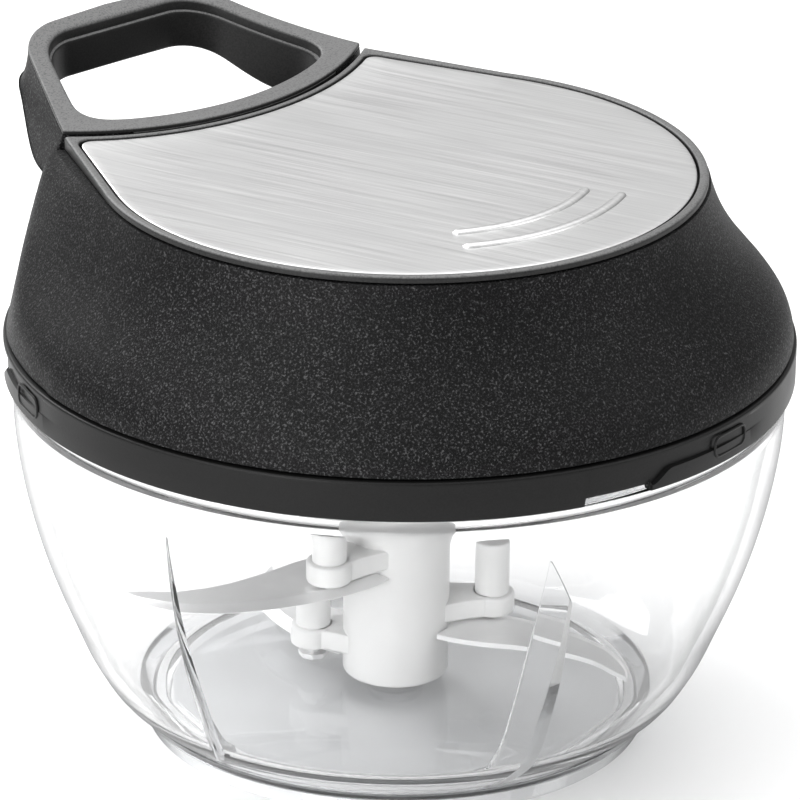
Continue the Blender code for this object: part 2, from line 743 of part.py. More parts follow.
def make_fin(name, direction, skew, outer):
    """A sail-shaped fin: its back follows the bowl's wall, its front sweeps down to the floor."""
    wall = [(r - BOWL_WALL / 2, z) for r, z in outer if FLOOR_TOP < z < FIN_TOP]
    wall.append((wall[-1][0] - FIN_THICKNESS, FLOOR_TOP - FLOOR_THICKNESS / 2))
    foot = wall[-1][0] - FIN_FOOT_REACH
    top_r, top_z = wall[0]
    front = []
    count = 7
    for i in range(count):
        t = i / (count - 1)
        reach = t ** FIN_SWEEP_SHARE
        front.append((top_r - FIN_THICKNESS + (foot - top_r + FIN_THICKNESS) * reach,
                      top_z + (wall[-1][1] - top_z) * t))
    outline = wall + list(reversed(front))
    pivot = wall[-1][0]
    half = FIN_THICKNESS / 2
    rings = []
    for side in (-half, half):
        ring = []
        for r, z in outline:
            grown = smooth_step((top_z - z) / (top_z - FLOOR_TOP))
            thin = side * (FIN_TIP_SHARE + (1 - FIN_TIP_SHARE) * grown)
            turn = math.radians(direction + skew)
            base_x, base_y = polar(pivot, direction)
            out = r - pivot
            x = base_x + out * math.cos(turn) - thin * math.sin(turn)
            y = base_y + out * math.sin(turn) + thin * math.cos(turn)
            ring.append((x, y, z))
        rings.append(ring)
    return loft(name, rings)


def make_bowl_pin():
    bottom = FLOOR_TOP - FLOOR_THICKNESS / 2 + SEAT_GAP * 2
    round_end = PIN_RADIUS / 2
    profile = [
        (0, PIN_TOP), (PIN_RADIUS - round_end, PIN_TOP), (PIN_RADIUS, PIN_TOP - round_end),
        (PIN_RADIUS, bottom), (0, bottom),
    ]
    turned("bowl_pin", profile, BRIGHT, SMALL_STEPS)


def make_grip_pad():
    top = FLOOR_TOP - FLOOR_THICKNESS - SEAT_GAP
    profile = [
        (0, top), (PAD_RADIUS, top), (PAD_RADIUS, PAD_EDGE), (PAD_RADIUS - PAD_EDGE, 0), (0, 0),
    ]
    turned("grip_pad", profile, RUBBER, BIG_STEPS // 2)


def make_seal_ring():
    low = RIM_TOP + SEAT_GAP
    high = low + SEAL_HEIGHT
    inner = RIM_RADIUS - SEAL_WIDTH
    lip = SEAL_HEIGHT / 4
    profile = [
        (inner + lip, high), (RIM_RADIUS - lip, high), (RIM_RADIUS, high - lip),
        (RIM_RADIUS, low + lip), (RIM_RADIUS - lip, low), (inner + lip, low),
        (inner, low + lip), (inner, high - lip),
    ]
    turned("seal_ring", profile, SEAL_WHITE, BIG_STEPS // 2 + SMALL_STEPS // 2)


# The chopper


def blade_outline(length, inset):
    """The blade's outline pointing along +X: cutting edge moved in by inset, then the back."""
    grow = length - BLADE_ROOT_RADIUS
    edge = [polar(BLADE_ROOT_RADIUS + grow * share, degrees) for share, degrees in BLADE_EDGE_SHARES]
    back = [polar(BLADE_ROOT_RADIUS + grow * share, degrees) for share, degrees in BLADE_BACK_SHARES]
    moved = []
    for i, (x, y) in enumerate(edge):
        ahead = edge[min(i + 1, len(edge) - 1)]
        behind = edge[max(i - 1, 0)]
        along = Vector((ahead[0] - behind[0], ahead[1] - behind[1])).normalized()
        fade = min(1.0, (1 - i / (len(edge) - 1)) / GRIND_FADE_SHARE)
        place = Vector((x + along.y * inset * fade, y - along.x * inset * fade))
        if inset:
            place *= max(1.0, BLADE_ROOT_RADIUS / place.length)
        moved.append(tuple(place))
    return moved + back


def make_blade(name, length, direction, level, pin_angle, pin_pitch):
    full = blade_outline(length, 0)
    ground = blade_outline(length, BLADE_GRIND)
    rings = [
        [(x, y, 0) for x, y in reversed(full)],
        [(x, y, BLADE_EDGE) for x, y in reversed(full)],
        [(x, y, BLADE_THICKNESS) for x, y in reversed(ground)],
    ]
    spin = Matrix.Translation((0, 0, level)) @ Matrix.Rotation(math.radians(direction), 4, "Z")
    rings = [[spin @ Vector(point) for point in ring] for ring in rings]
    blade = loft("blade_" + name, rings, BRIGHT)
    hole = polar(pin_pitch, direction + pin_angle)
    cut(blade, round_bar(f"blade_{name}_hole", RIVET_SHANK_RADIUS + SEAT_GAP, level - OVERRUN,
                         level + OVERRUN, hole, count=TINY_STEPS))


def make_rivet(name, direction, level, pin_angle, pin_pitch):
    top = level - SEAT_GAP
    low = top - RIVET_HEAD
    up = level + BLADE_THICKNESS + ARM_HEIGHT / 2
    profile = [
        (0, up), (RIVET_SHANK_RADIUS, up), (RIVET_SHANK_RADIUS, top), (RIVET_HEAD_RADIUS, top),
        (RIVET_HEAD_RADIUS, low + RIVET_HEAD / 3), (RIVET_HEAD_RADIUS - RIVET_HEAD / 3, low), (0, low),
    ]
    place = (*polar(pin_pitch, direction + pin_angle), 0)
    turned("blade_rivet_" + name, profile, BRIGHT, TINY_STEPS, place)


def make_blade_hub():
    bore = PIN_RADIUS + SEAT_GAP
    edge = HUB_ROUND * HUB_BEVEL_SHARE
    profile = [
        (0, SOCKET_LOW), (SOCKET_RADIUS, SOCKET_LOW), (SOCKET_RADIUS, HUB_TOP),
        (HUB_RADIUS - HUB_ROUND / 2, HUB_TOP), (HUB_RADIUS, HUB_TOP - HUB_ROUND / 2),
        (HUB_RADIUS, HUB_LOW + HUB_ROUND), (HUB_RADIUS - edge, HUB_LOW + edge),
        (HUB_RADIUS - HUB_ROUND, HUB_LOW), (bore, HUB_LOW), (bore, PIN_TOP + SEAT_GAP),
        (0, PIN_TOP + SEAT_GAP),
    ]
    hub = turned("blade_hub", profile, WHITE, BIG_STEPS // 2)
    for i in range(SPLINE_COUNT):
        middle = 90 + (i + 0.5) * 360 / SPLINE_COUNT
        outline = sector(RIB_RADIUS, SOCKET_RADIUS + HUB_ROUND / 2,
                         middle - RIB_HALF_ANGLE, middle + RIB_HALF_ANGLE, 4)
        join(hub, flat(f"socket_rib_{i + 1}", [outline], SOCKET_LOW - HUB_ROUND / 2,
                       HUB_TOP - HUB_ROUND))
    blades = zip(BLADE_NAMES, BLADE_DIRECTIONS, BLADE_LEVELS, BLADE_PIN_ANGLES, BLADE_PIN_PITCHES,
                 BLADE_PIN_HEIGHTS)
    for name, direction, level, pin_angle, pitch, height in blades:
        low = level + BLADE_THICKNESS + SEAT_GAP
        high = low + ARM_HEIGHT
        centre = polar(pitch, direction + pin_angle)
        along = Vector(centre).normalized()
        across = Vector((-along.y, along.x)) * ARM_HALF_WIDTH
        start = along * (HUB_RADIUS / 2)
        end = Vector(centre)
        corners = [start - across, end - across, end + across, start + across]
        join(hub, flat(f"arm_{name}", [[tuple(p) for p in corners]], low, high))
        join(hub, round_bar(f"collar_{name}", COLLAR_RADIUS, low, high, centre))
        join(hub, round_bar(f"post_{name}", BLADE_PIN_RADIUS, high - ARM_HEIGHT / 2, high + height,
                            centre))
        cut(hub, round_bar(f"rivet_bore_{name}", RIVET_SHANK_RADIUS + SEAT_GAP, low - OVERRUN,
                           level + BLADE_THICKNESS + ARM_HEIGHT / 2 + SEAT_GAP, centre,
                           count=TINY_STEPS))
    return hub


def make_chopper():
    make_blade_hub()
    for name, length, direction, level, pin_angle, pitch in zip(
            BLADE_NAMES, BLADE_LENGTHS, BLADE_DIRECTIONS, BLADE_LEVELS, BLADE_PIN_ANGLES,
            BLADE_PIN_PITCHES):
        make_blade(name, length, direction, level, pin_angle, pitch)
        make_rivet(name, direction, level, pin_angle, pitch)


# The lid


def wall_strip(name, columns, outer):
    """A curved block on a round wall, from columns of (degrees, inner radius, low, high)."""
    rings = []
    for degrees, inner, low, high in columns:
        ix, iy = polar(inner, degrees)
        ox, oy = polar(outer, degrees)
        rings.append([(ix, iy, low), (ix, iy, high), (ox, oy, high), (ox, oy, low)])
    return loft(name, rings)


def make_lid_band():
    inner = BAND_RADIUS - BAND_WALL
    flange_low = BAND_TOP - BAND_FLANGE_HEIGHT
    edge = SEAT_GAP
    profile = [
        (BAND_FLANGE_RADIUS, BAND_TOP), (BAND_RADIUS - edge, BAND_TOP), (BAND_RADIUS, BAND_TOP - edge),
        (BAND_RADIUS, BAND_LOW + edge), (BAND_RADIUS - edge, BAND_LOW), (inner, BAND_LOW),
        (inner, flange_low), (BAND_FLANGE_RADIUS, flange_low),
    ]
    band = turned("lid_band", profile, SMOOTH)
    hook_low = BAND_LOW + HOOK_LIFT
    out = BAND_RADIUS + OVERRUN
    places = [LUG_DIRECTION + i * 360 / LUG_COUNT for i in range(LUG_COUNT)]
    for i, at in enumerate(places):
        outline = sector(HOOK_RADIUS, BAND_RADIUS - BAND_WALL / 2, at + HOOK_START_ANGLE,
                         at + HOOK_END_ANGLE)
        join(band, flat(f"hook_{i + 1}", [outline], hook_low, hook_low + HOOK_HEIGHT))
    for i, at in enumerate(places):
        notch = [(degrees, inner - SEAT_GAP, BAND_LOW - OVERRUN, BAND_LOW + NOTCH_RISE)
                 for degrees in spread(at + NOTCH_START_ANGLE, at + NOTCH_END_ANGLE, 5)]
        cut(band, wall_strip(f"notch_{i + 1}", notch, out))
    for i, at in enumerate(places):
        cut(band, wall_strip(f"recess_{i + 1}", recess_columns(at), out))
    return band


def spread(start, end, count):
    return [start + (end - start) * i / (count - 1) for i in range(count)]


def recess_columns(at):
    """The shallow recess beside a notch: a ramp up to a lip that fades out along the band."""
    top = BAND_TOP - RECESS_TOP_EDGE
    deep = BAND_RADIUS - NOTCH_DEPTH
    start = NOTCH_START_ANGLE - RECESS_LEAD_ANGLE
    end = NOTCH_END_ANGLE + RECESS_LEAD_ANGLE
    columns = [(at + degrees, deep, BAND_LOW - OVERRUN, top) for degrees in spread(start, end, 5)]
    columns[-1] = (at + end, deep, BAND_LOW + NOTCH_RISE / 2, top)
    faces = spread(deep, deep + NOTCH_DEPTH * LIP_TAPER_SHARE, 5)
    for degrees, face in zip(spread(NOTCH_RAMP_ANGLE, LIP_END_ANGLE, 5), faces):
        columns.append((at + degrees, face, BAND_LOW + LIP_HEIGHT, top))
    return columns


def make_lid_shell():
    levels = 10
    rings = []
    for k in range(levels):
        height = SKIRT_LOW + (DECK_TOP - SKIRT_LOW) * k / (levels - 1)
        ring = []
        for i in range(RING_STEPS):
            degrees = 360 * i / (RING_STEPS)
            ring.append((*polar(lid_radius(height, degrees), degrees), height))
        rings.append(ring)
    shell = loft("lid_shell", rings, SPECKLED)
    cut(shell, seam_disc("handle_pocket", SEAM_RADIUS, POCKET_FLOOR, RIM_PLANE + OVERRUN))
    cut(shell, scoop("lid_scoop", 0, 0))
    cut(shell, make_lid_cavity())
    bore = CORD_RADIUS + RUN_GAP + EYELET_WALL + SEAT_GAP
    eyelet_hole = make_along_y("eyelet_hole", bore, SEAM_Y - SEAM_WALL - OVERRUN,
                               SEAM_Y + OVERRUN)
    cut(shell, eyelet_hole)
    cut(shell, round_bar("axle_bore", AXLE_RADIUS + SEAT_GAP, DRUM_SPACE_LOW, DECK_LOW, (0, 0)))
    for i, place in enumerate(post_places()):
        cut(shell, round_bar(f"post_bore_{i + 1}", SCREW_RADIUS + SEAT_GAP, BASE_TOP - OVERRUN,
                             BASE_LOW + SCREW_LENGTH + SEAT_GAP, place, count=TINY_STEPS))
    return shell


def make_along_y(name, radius, low, high, look=None, height=None):
    """A round bar along Y at the cord's height."""
    profile = [(0, high), (radius, high), (radius, low), (0, low)]
    bar = turned(name, profile, None, SMALL_STEPS)
    turn = Matrix.Rotation(math.radians(-90), 4, "X")
    bar.data.transform(Matrix.Translation((0, 0, height or CORD_Z)) @ turn)
    return bar


def post_places():
    return [polar(POST_PITCH_RADIUS, POST_DIRECTION + 180 + i * 360 / POST_COUNT)
            for i in range(POST_COUNT)]


def make_lid_cavity():
    """The space inside the lid's shell, with the walls, posts and centre post left standing."""
    profile = [(0, DECK_LOW), (skirt_radius(DECK_LOW) - SKIRT_WALL, DECK_LOW)]
    levels = 9
    for k in range(1, levels):
        height = DECK_LOW + (SKIRT_LOW - DECK_LOW) * k / (levels - 1)
        profile.append((skirt_radius(height) - SKIRT_WALL, height))
    profile += [(profile[-1][0], SKIRT_LOW - OVERRUN), (0, SKIRT_LOW - OVERRUN)]
    cavity = turned("lid_cavity", profile, None, BIG_STEPS)
    cut(cavity, seam_disc("pocket_wall", SEAM_RADIUS + SEAM_WALL, POCKET_FLOOR - SEAM_WALL,
                          RIM_PLANE + OVERRUN))
    cut(cavity, scoop("scoop_wall", SEAM_WALL, SEAM_WALL))
    for i, place in enumerate(post_places()):
        cut(cavity, round_bar(f"post_{i + 1}", POST_RADIUS, BASE_TOP + SEAT_GAP, RIM_PLANE, place))
    cut(cavity, round_bar("centre_post", CENTRE_POST_RADIUS, DRUM_SPACE_LOW + RUN_GAP, RIM_PLANE,
                          (0, 0)))
    return cavity


def make_lid_base():
    flange_top = BASE_FLANGE_LOW + BASE_THICKNESS
    outer = BASE_RADIUS
    wall = RIM_RADIUS - RIM_WALL - BASE_GUARD
    bush = STEM_RADIUS + SEAT_GAP + BUSH_WALL + SEAT_GAP
    profile = [
        (wall - BASE_WALL, flange_top), (outer, flange_top), (outer, BASE_FLANGE_LOW),
        (wall, BASE_FLANGE_LOW), (wall, BASE_LOW + BASE_WALL / 2), (wall - BASE_WALL / 2, BASE_LOW),
        (bush, BASE_LOW), (bush, BASE_TOP), (wall - BASE_WALL, BASE_TOP),
    ]
    base = turned("lid_base", profile, INNER)
    for i, place in enumerate(post_places()):
        cut(base, round_bar(f"base_hole_{i + 1}", SCREW_RADIUS + SEAT_GAP, BASE_LOW - OVERRUN,
                            BASE_TOP + OVERRUN, place, count=TINY_STEPS))
    return base


def screw_profile(head_radius, head_low, head_high, tip):
    slot = head_radius * DRIVE_SLOT_SHARE
    depth = (head_high - head_low) * DRIVE_SLOT_SHARE
    return [
        (0, tip), (SCREW_RADIUS / 2, tip), (SCREW_RADIUS, tip - SCREW_RADIUS), (SCREW_RADIUS, head_high),
        (head_radius, head_high), (head_radius, head_low + depth / 2),
        (head_radius - depth / 2, head_low), (slot, head_low), (slot, head_low + depth),
        (0, head_low + depth),
    ]


def make_base_screws():
    head_high = BASE_LOW - SEAT_GAP
    head_low = head_high - SCREW_HEAD_HEIGHT
    for i, place in enumerate(post_places()):
        profile = screw_profile(SCREW_HEAD_RADIUS, head_low, head_high, BASE_LOW + SCREW_LENGTH)
        turned(f"base_screw_{i + 1}", profile, BRIGHT, TINY_STEPS, (*place, 0))


def make_bezel():
    outer = rim_outline(0, 0, SEAT_GAP)
    inner = rim_outline(BEZEL_WIDTH, BEZEL_SEAM_WIDTH, PLATE_CORNER)
    low = DECK_TOP + SEAT_GAP
    bezel = flat("top_bezel", [outer, inner], low, RIM_PLANE + TOP_RISE, SMOOTH)
    keep_inside(bezel, top_slab("bezel_slab", low - OVERRUN, 0))
    return bezel


def top_slab(name, flat_height, drop):
    """The space between the swept-up top, lowered by drop, and a flat height under or over it."""
    start = -BAND_RADIUS - OVERRUN
    places = top_stations()
    top = [(start, top_height(start) - drop)] + [(y, top_height(y) - drop) for y in places]
    level = [(places[-1], flat_height), (start, flat_height)]
    if flat_height > top[-1][1]:
        return side_slab(name, top + level)
    return side_slab(name, level[::-1] + top[::-1])


def top_stations():
    """Places along Y at which the swept-up top and the handle's underside are drawn."""
    count = 19
    end = HANDLE_END + OVERRUN * 2
    return [TOP_RISE_START + (end - TOP_RISE_START) * i / (count - 1) for i in range(count)]


def make_plate():
    low = DECK_TOP + SEAT_GAP
    outline = rim_outline(BEZEL_WIDTH + PLATE_GAP, BEZEL_SEAM_WIDTH + PLATE_GAP, PLATE_CORNER)
    plate = flat("top_plate", [outline], low - OVERRUN, RIM_PLANE + TOP_RISE, BRUSHED)
    keep_inside(plate, top_slab("plate_top_slab", low - OVERRUN * 2, PLATE_DROP))
    cut(plate, top_slab("plate_low_slab", low - OVERRUN * 2, PLATE_DROP + PLATE_THICKNESS))
    top = RIM_PLANE - PLATE_DROP
    for i, radius in enumerate(RIDGE_RADII):
        points = [(x, y, top) for x, y in arc(radius, -90 - RIDGE_HALF_ANGLE, -90 + RIDGE_HALF_ANGLE, 15)]
        join(plate, tube(f"ridge_{i + 1}", points, RIDGE_HALF_WIDTH, None, 1))
    return plate


# The handle


def handle_rings():
    rings = []
    for level in reversed(HANDLE_LEVELS):
        rings.append([(x, y, RIM_PLANE + level[0]) for x, y in handle_outline(level)])
    return rings


def handle_slab(name, drop):
    """The handle's side view: from its swept-up underside to its top, lowered by drop."""
    places = [TOP_RISE_START - OVERRUN * 2] + top_stations()
    under = [(y, tail_height(y)) for y in places]
    over = [(y, top_height(y) + FRAME_LIFT - drop) for y in reversed(places)]
    return side_slab(name, under + over)


def above_top(name, outline, drop):
    """The space inside an outline and above the handle's top, lowered by drop."""
    high = RIM_PLANE + TOP_RISE + OVERRUN
    space = flat(name, [outline], BAND_TOP, high)
    keep_inside(space, top_slab(name + "_slab", high + OVERRUN, drop - FRAME_LIFT))
    return space


def make_handle_body():
    body = loft("handle_body", handle_rings(), SPECKLED)
    keep_inside(body, handle_slab("body_slab", FRAME_EDGE + SEAT_GAP))
    keep_inside(body, seam_disc("body_seam", HANDLE_RADIUS, BAND_LOW, RIM_PLANE + TOP_RISE + OVERRUN * 2))
    outline = handle_outline(HANDLE_LEVELS[1], FRAME_INSET - SEAT_GAP)
    cut(body, above_top("frame_pocket", outline, FRAME_THICKNESS + SEAT_GAP))
    cut(body, flat("body_hole", [hole_outline(LINING + SEAT_GAP)], BAND_LOW,
                   RIM_PLANE + TOP_RISE + OVERRUN))
    half = BAR_HALF_WIDTH + SEAT_GAP
    block = [(-half, 0), (half, 0), (half, SEAM_Y + BAR_REACH), (-half, SEAM_Y + BAR_REACH)]
    cut(body, flat("bar_space", [block], BAND_LOW, RIM_PLANE + TOP_RISE))
    for i, place in enumerate(handle_screw_places()):
        bottom = tail_height(place[1])
        cut(body, round_bar(f"handle_bore_{i + 1}", SCREW_RADIUS + SEAT_GAP, bottom - OVERRUN,
                            RIM_PLANE + TOP_RISE, place, count=TINY_STEPS))
        cut(body, round_bar(f"handle_counterbore_{i + 1}", HANDLE_SCREW_HEAD_RADIUS + SEAT_GAP,
                            bottom - OVERRUN, bottom + SCREW_HEAD_HEIGHT + SEAT_GAP, place,
                            count=TINY_STEPS))
    return body


def make_handle_frame():
    """The smooth top frame, with the lining of the finger hole and the bar at the seam."""
    frame = loft("handle_frame", handle_rings(), SMOOTH)
    keep_inside(frame, handle_slab("frame_slab", 0))
    high = RIM_PLANE + TOP_RISE + OVERRUN * 2
    keep_inside(frame, seam_disc("frame_seam", HANDLE_RADIUS, BAND_LOW, high))
    rest = loft("frame_rest", outer_space(0))
    keep_inside(rest, top_slab("frame_under_slab", BAND_LOW - OVERRUN, FRAME_THICKNESS - FRAME_LIFT))
    cut(rest, flat("frame_lining", [hole_outline(LINING)], BAND_LOW, high))
    half = BAR_HALF_WIDTH
    block = [(-half, 0), (half, 0), (half, SEAM_Y + BAR_REACH), (-half, SEAM_Y + BAR_REACH)]
    cut(rest, flat("frame_bar", [block], BAND_LOW, high))
    cut(frame, rest)
    edge = loft("frame_edge_rest", outer_space(SEAT_GAP))
    keep_inside(edge, top_slab("frame_edge_slab", BAND_LOW - OVERRUN, FRAME_EDGE - FRAME_LIFT))
    inner = handle_outline(HANDLE_LEVELS[1], FRAME_INSET)
    cut(edge, flat("frame_edge_inner", [inner], BAND_LOW - OVERRUN * 2, high))
    cut(frame, edge)
    cut(frame, flat("finger_hole", [hole_outline(0)], BAND_LOW, high))
    cut(frame, above_top("hole_ledge", hole_outline(HOLE_LEDGE), FRAME_THICKNESS))
    start = SEAM_Y - OVERRUN
    anchor_y = ferrule_y()
    cut(frame, make_along_y("anchor_bore", CORD_RADIUS + RUN_GAP, start, anchor_y))
    pocket_top = CORD_Z + FERRULE_HEIGHT / 2 + SEAT_GAP
    cut(frame, round_bar("ferrule_pocket", FERRULE_RADIUS + SEAT_GAP, BAND_LOW, pocket_top,
                         (0, anchor_y)))
    for i, place in enumerate(handle_screw_places()):
        cut(frame, round_bar(f"frame_bore_{i + 1}", SCREW_RADIUS + SEAT_GAP, BAND_LOW,
                             handle_screw_tip() + SEAT_GAP, place, count=TINY_STEPS))
    return frame


def outer_space(grow):
    """A block around the whole handle, used to clear what lies under the frame's top."""
    reach = BAND_RADIUS + OVERRUN / 2 + grow
    end = HANDLE_END + OVERRUN + grow
    square = [(-reach, 0), (reach, 0), (reach, end), (-reach, end)]
    return [[(x, y, z) for x, y in square] for z in (BAND_LOW - grow, RIM_PLANE + TOP_RISE + OVERRUN + grow)]


def handle_screw_places():
    """The two screws stand in the frame's corners, at an even margin from the seam."""
    reach = HANDLE_RADIUS - HANDLE_SCREW_MARGIN
    y = SEAM_CENTRE_Y - math.sqrt(reach * reach - HANDLE_SCREW_X * HANDLE_SCREW_X)
    return [(-HANDLE_SCREW_X, y), (HANDLE_SCREW_X, y)]


def ferrule_y():
    return SEAM_Y + SEAM_GAP + FERRULE_OFFSET


def handle_screw_tip():
    return top_height(handle_screw_places()[0][1]) + FRAME_LIFT - FRAME_THICKNESS / 2


def make_handle_screws():
    for i, (x, y) in enumerate(handle_screw_places()):
        low = tail_height(y) + SEAT_GAP
        profile = screw_profile(HANDLE_SCREW_HEAD_RADIUS, low, low + SCREW_HEAD_HEIGHT - SEAT_GAP,
                                handle_screw_tip())
        turned(f"handle_screw_{i + 1}", profile, BRIGHT, TINY_STEPS, (x, y, 0))


# The drive inside the lid


def make_drum():
    wall_in = DRUM_RADIUS - DRUM_WALL
    reach = DRUM_RADIUS + FLANGE_REACH
    bore = AXLE_RADIUS + RUN_GAP
    ring_out = RATCHET_RADIUS + RATCHET_WALL
    profile = [
        (wall_in, DRUM_TOP), (reach, DRUM_TOP), (reach, DRUM_SPACE_TOP), (DRUM_RADIUS, DRUM_SPACE_TOP),
        (DRUM_RADIUS, DRUM_SPACE_LOW), (reach, DRUM_SPACE_LOW), (reach, DRUM_LOW),
        (ring_out, DRUM_LOW), (ring_out, RATCHET_LOW), (RATCHET_RADIUS, RATCHET_LOW),
        (RATCHET_RADIUS, DRUM_LOW), (bore, DRUM_LOW), (bore, DRUM_SPACE_LOW), (wall_in, DRUM_SPACE_LOW),
    ]
    drum = turned("cord_drum", profile, WHITE, BIG_STEPS // 2 + SMALL_STEPS // 2)
    step = 360 / TOOTH_COUNT
    for i in range(TOOTH_COUNT):
        at = i * step
        end = at + step * TOOTH_SHARE
        outline = arc(RATCHET_RADIUS + RATCHET_WALL / 2, at, end, 4)
        outline += [polar(RATCHET_RADIUS, end), polar(RATCHET_RADIUS - TOOTH_HEIGHT, at)]
        join(drum, flat(f"ratchet_tooth_{i + 1}", [outline], RATCHET_LOW + SEAT_GAP,
                        DRUM_LOW + DRUM_FLOOR / 2))
    return drum


def make_mainspring():
    """A flat spiral strip wound between the centre post and the drum's inner wall."""
    start = CENTRE_POST_RADIUS + SEAT_GAP + SPRING_THICKNESS
    end = DRUM_RADIUS - DRUM_WALL - SEAT_GAP - SPRING_THICKNESS
    count = SPRING_TURNS * SPRING_LOOP_POINTS
    low = DRUM_SPACE_LOW + RUN_GAP
    high = DRUM_SPACE_TOP - RUN_GAP
    path = []
    for i in range(count + 1):
        share = i / count
        path.append(polar(start + (end - start) * share, 360 * SPRING_TURNS * share))
    mesh = bpy.data.meshes.new("mainspring")
    points = [(x, y, z) for z in (low, high) for x, y in path]
    width = len(path)
    faces = [(i, i + 1, i + 1 + width, i + width) for i in range(width - 1)]
    mesh.from_pydata(points, [], faces)
    source = add_object("mainspring", mesh)
    shell = source.modifiers.new("strip", "SOLIDIFY")
    shell.thickness = SPRING_THICKNESS
    shell.offset = 0
    gap = (end - start) / SPRING_TURNS - SPRING_THICKNESS
    print(f"mainspring: least gap between turns {gap * 1000:.2f} mm")
    return made_solid(source, "mainspring", BRIGHT)


def make_axle():
    low = DRIVER_DISC_LOW + DRIVER_DISC
    high = DECK_LOW - SEAT_GAP
    edge = AXLE_RADIUS / 3
    profile = [
        (0, high), (AXLE_RADIUS - edge, high), (AXLE_RADIUS, high - edge), (AXLE_RADIUS, low),
        (0, low),
    ]
    turned("axle", profile, BRIGHT, SMALL_STEPS)


def make_drive_coupling():
    """The disc that the pawls turn, its stem through the bush and its splines in the hub."""
    neck_top = DRUM_LOW - SEAT_GAP
    bore = AXLE_RADIUS + SEAT_GAP
    collar_low = BUSH_TOP + SEAT_GAP
    profile = [
        (0, DRIVER_DISC_LOW + DRIVER_DISC - SEAT_GAP), (bore, DRIVER_DISC_LOW + DRIVER_DISC - SEAT_GAP),
        (bore, neck_top), (DRIVER_NECK_RADIUS, neck_top), (DRIVER_NECK_RADIUS, DRIVER_DISC_TOP),
        (DRIVER_DISC_RADIUS, DRIVER_DISC_TOP), (DRIVER_DISC_RADIUS, DRIVER_DISC_LOW),
        (STEM_COLLAR_RADIUS, DRIVER_DISC_LOW - STEM_COLLAR), (STEM_COLLAR_RADIUS, collar_low),
        (STEM_RADIUS, collar_low), (STEM_RADIUS, HUB_TOP + RUN_GAP),
        (SPLINE_CORE_RADIUS, HUB_TOP + RUN_GAP), (SPLINE_CORE_RADIUS, SPLINE_LOW), (0, SPLINE_LOW),
    ]
    driver = turned("drive_coupling", profile, WHITE, BIG_STEPS // 2)
    for i in range(SPLINE_COUNT):
        middle = 90 + i * 360 / SPLINE_COUNT
        outline = sector(SPLINE_CORE_RADIUS / 2, SPLINE_RADIUS, middle - SPLINE_HALF_ANGLE,
                         middle + SPLINE_HALF_ANGLE, 5)
        join(driver, flat(f"spline_{i + 1}", [outline], SPLINE_LOW, HUB_TOP + RUN_GAP * 2))
    for i in range(2):
        place = polar(PAWL_PITCH_RADIUS, i * 180)
        join(driver, round_bar(f"pawl_pin_{i + 1}", PAWL_PIN_RADIUS, DRIVER_DISC_LOW + DRIVER_DISC / 2,
                               DRIVER_DISC_TOP + PAWL_THICKNESS + SEAT_GAP, place, count=TINY_STEPS))
    return driver


def make_pawls():
    """Two pawls on the coupling's pins, each with its nose behind a ratchet tooth."""
    low = DRIVER_DISC_TOP + SEAT_GAP
    tip_radius = RATCHET_RADIUS - SEAT_GAP * 2
    for i in range(2):
        centre = Vector(polar(PAWL_PITCH_RADIUS, i * 180))
        step = 360 / TOOTH_COUNT
        at = i * 180 + step * PAWL_TIP_SHARE
        radial = centre.normalized() * PAWL_HALF_WIDTH
        around = Vector((-radial.y, radial.x))
        outline = [Vector(polar(tip_radius, at)), Vector(polar(tip_radius - PAWL_NOSE, at))]
        outline += [centre + radial * out + around * turn for out, turn in PAWL_BACK_SHARES]
        outline = [tuple(point) for point in outline]
        pawl = flat(f"clutch_pawl_{i + 1}", [outline], low, low + PAWL_THICKNESS - SEAT_GAP, BRIGHT)
        cut(pawl, round_bar(f"pawl_hole_{i + 1}", PAWL_PIN_RADIUS + SEAT_GAP / 2, low - OVERRUN,
                            low + OVERRUN, tuple(centre), count=TINY_STEPS))


def make_bush():
    inner = STEM_RADIUS + SEAT_GAP
    outer = inner + BUSH_WALL
    profile = [
        (inner, BUSH_TOP), (outer, BUSH_TOP), (outer, BUSH_LOW), (inner, BUSH_LOW),
    ]
    turned("drive_bush", profile, BRASS, BIG_STEPS // 2)


def make_eyelet():
    """The cord's guide in the seam wall, flanged on the inside."""
    bore = CORD_RADIUS + RUN_GAP
    outer = bore + EYELET_WALL
    wall_out = SEAM_Y
    wall_in = wall_out - SEAM_WALL
    profile = [
        (bore, wall_out - SEAT_GAP), (outer, wall_out - SEAT_GAP), (outer, wall_in - SEAT_GAP),
        (EYELET_FLANGE_RADIUS, wall_in - SEAT_GAP), (EYELET_FLANGE_RADIUS, wall_in - SEAT_GAP - EYELET_FLANGE),
        (bore + EYELET_WALL / 2, wall_in - SEAT_GAP - EYELET_FLANGE),
        (bore, wall_in - SEAT_GAP - EYELET_FLANGE / 2),
    ]
    eyelet = turned("cord_eyelet", profile, BRIGHT, SMALL_STEPS)
    turn = Matrix.Rotation(math.radians(-90), 4, "X")
    eyelet.data.transform(Matrix.Translation((0, 0, CORD_Z)) @ turn)
    return eyelet


def eyelet_mouth_y():
    """The inner end of the cord's guide."""
    return SEAM_Y - SEAM_WALL - SEAT_GAP - EYELET_FLANGE


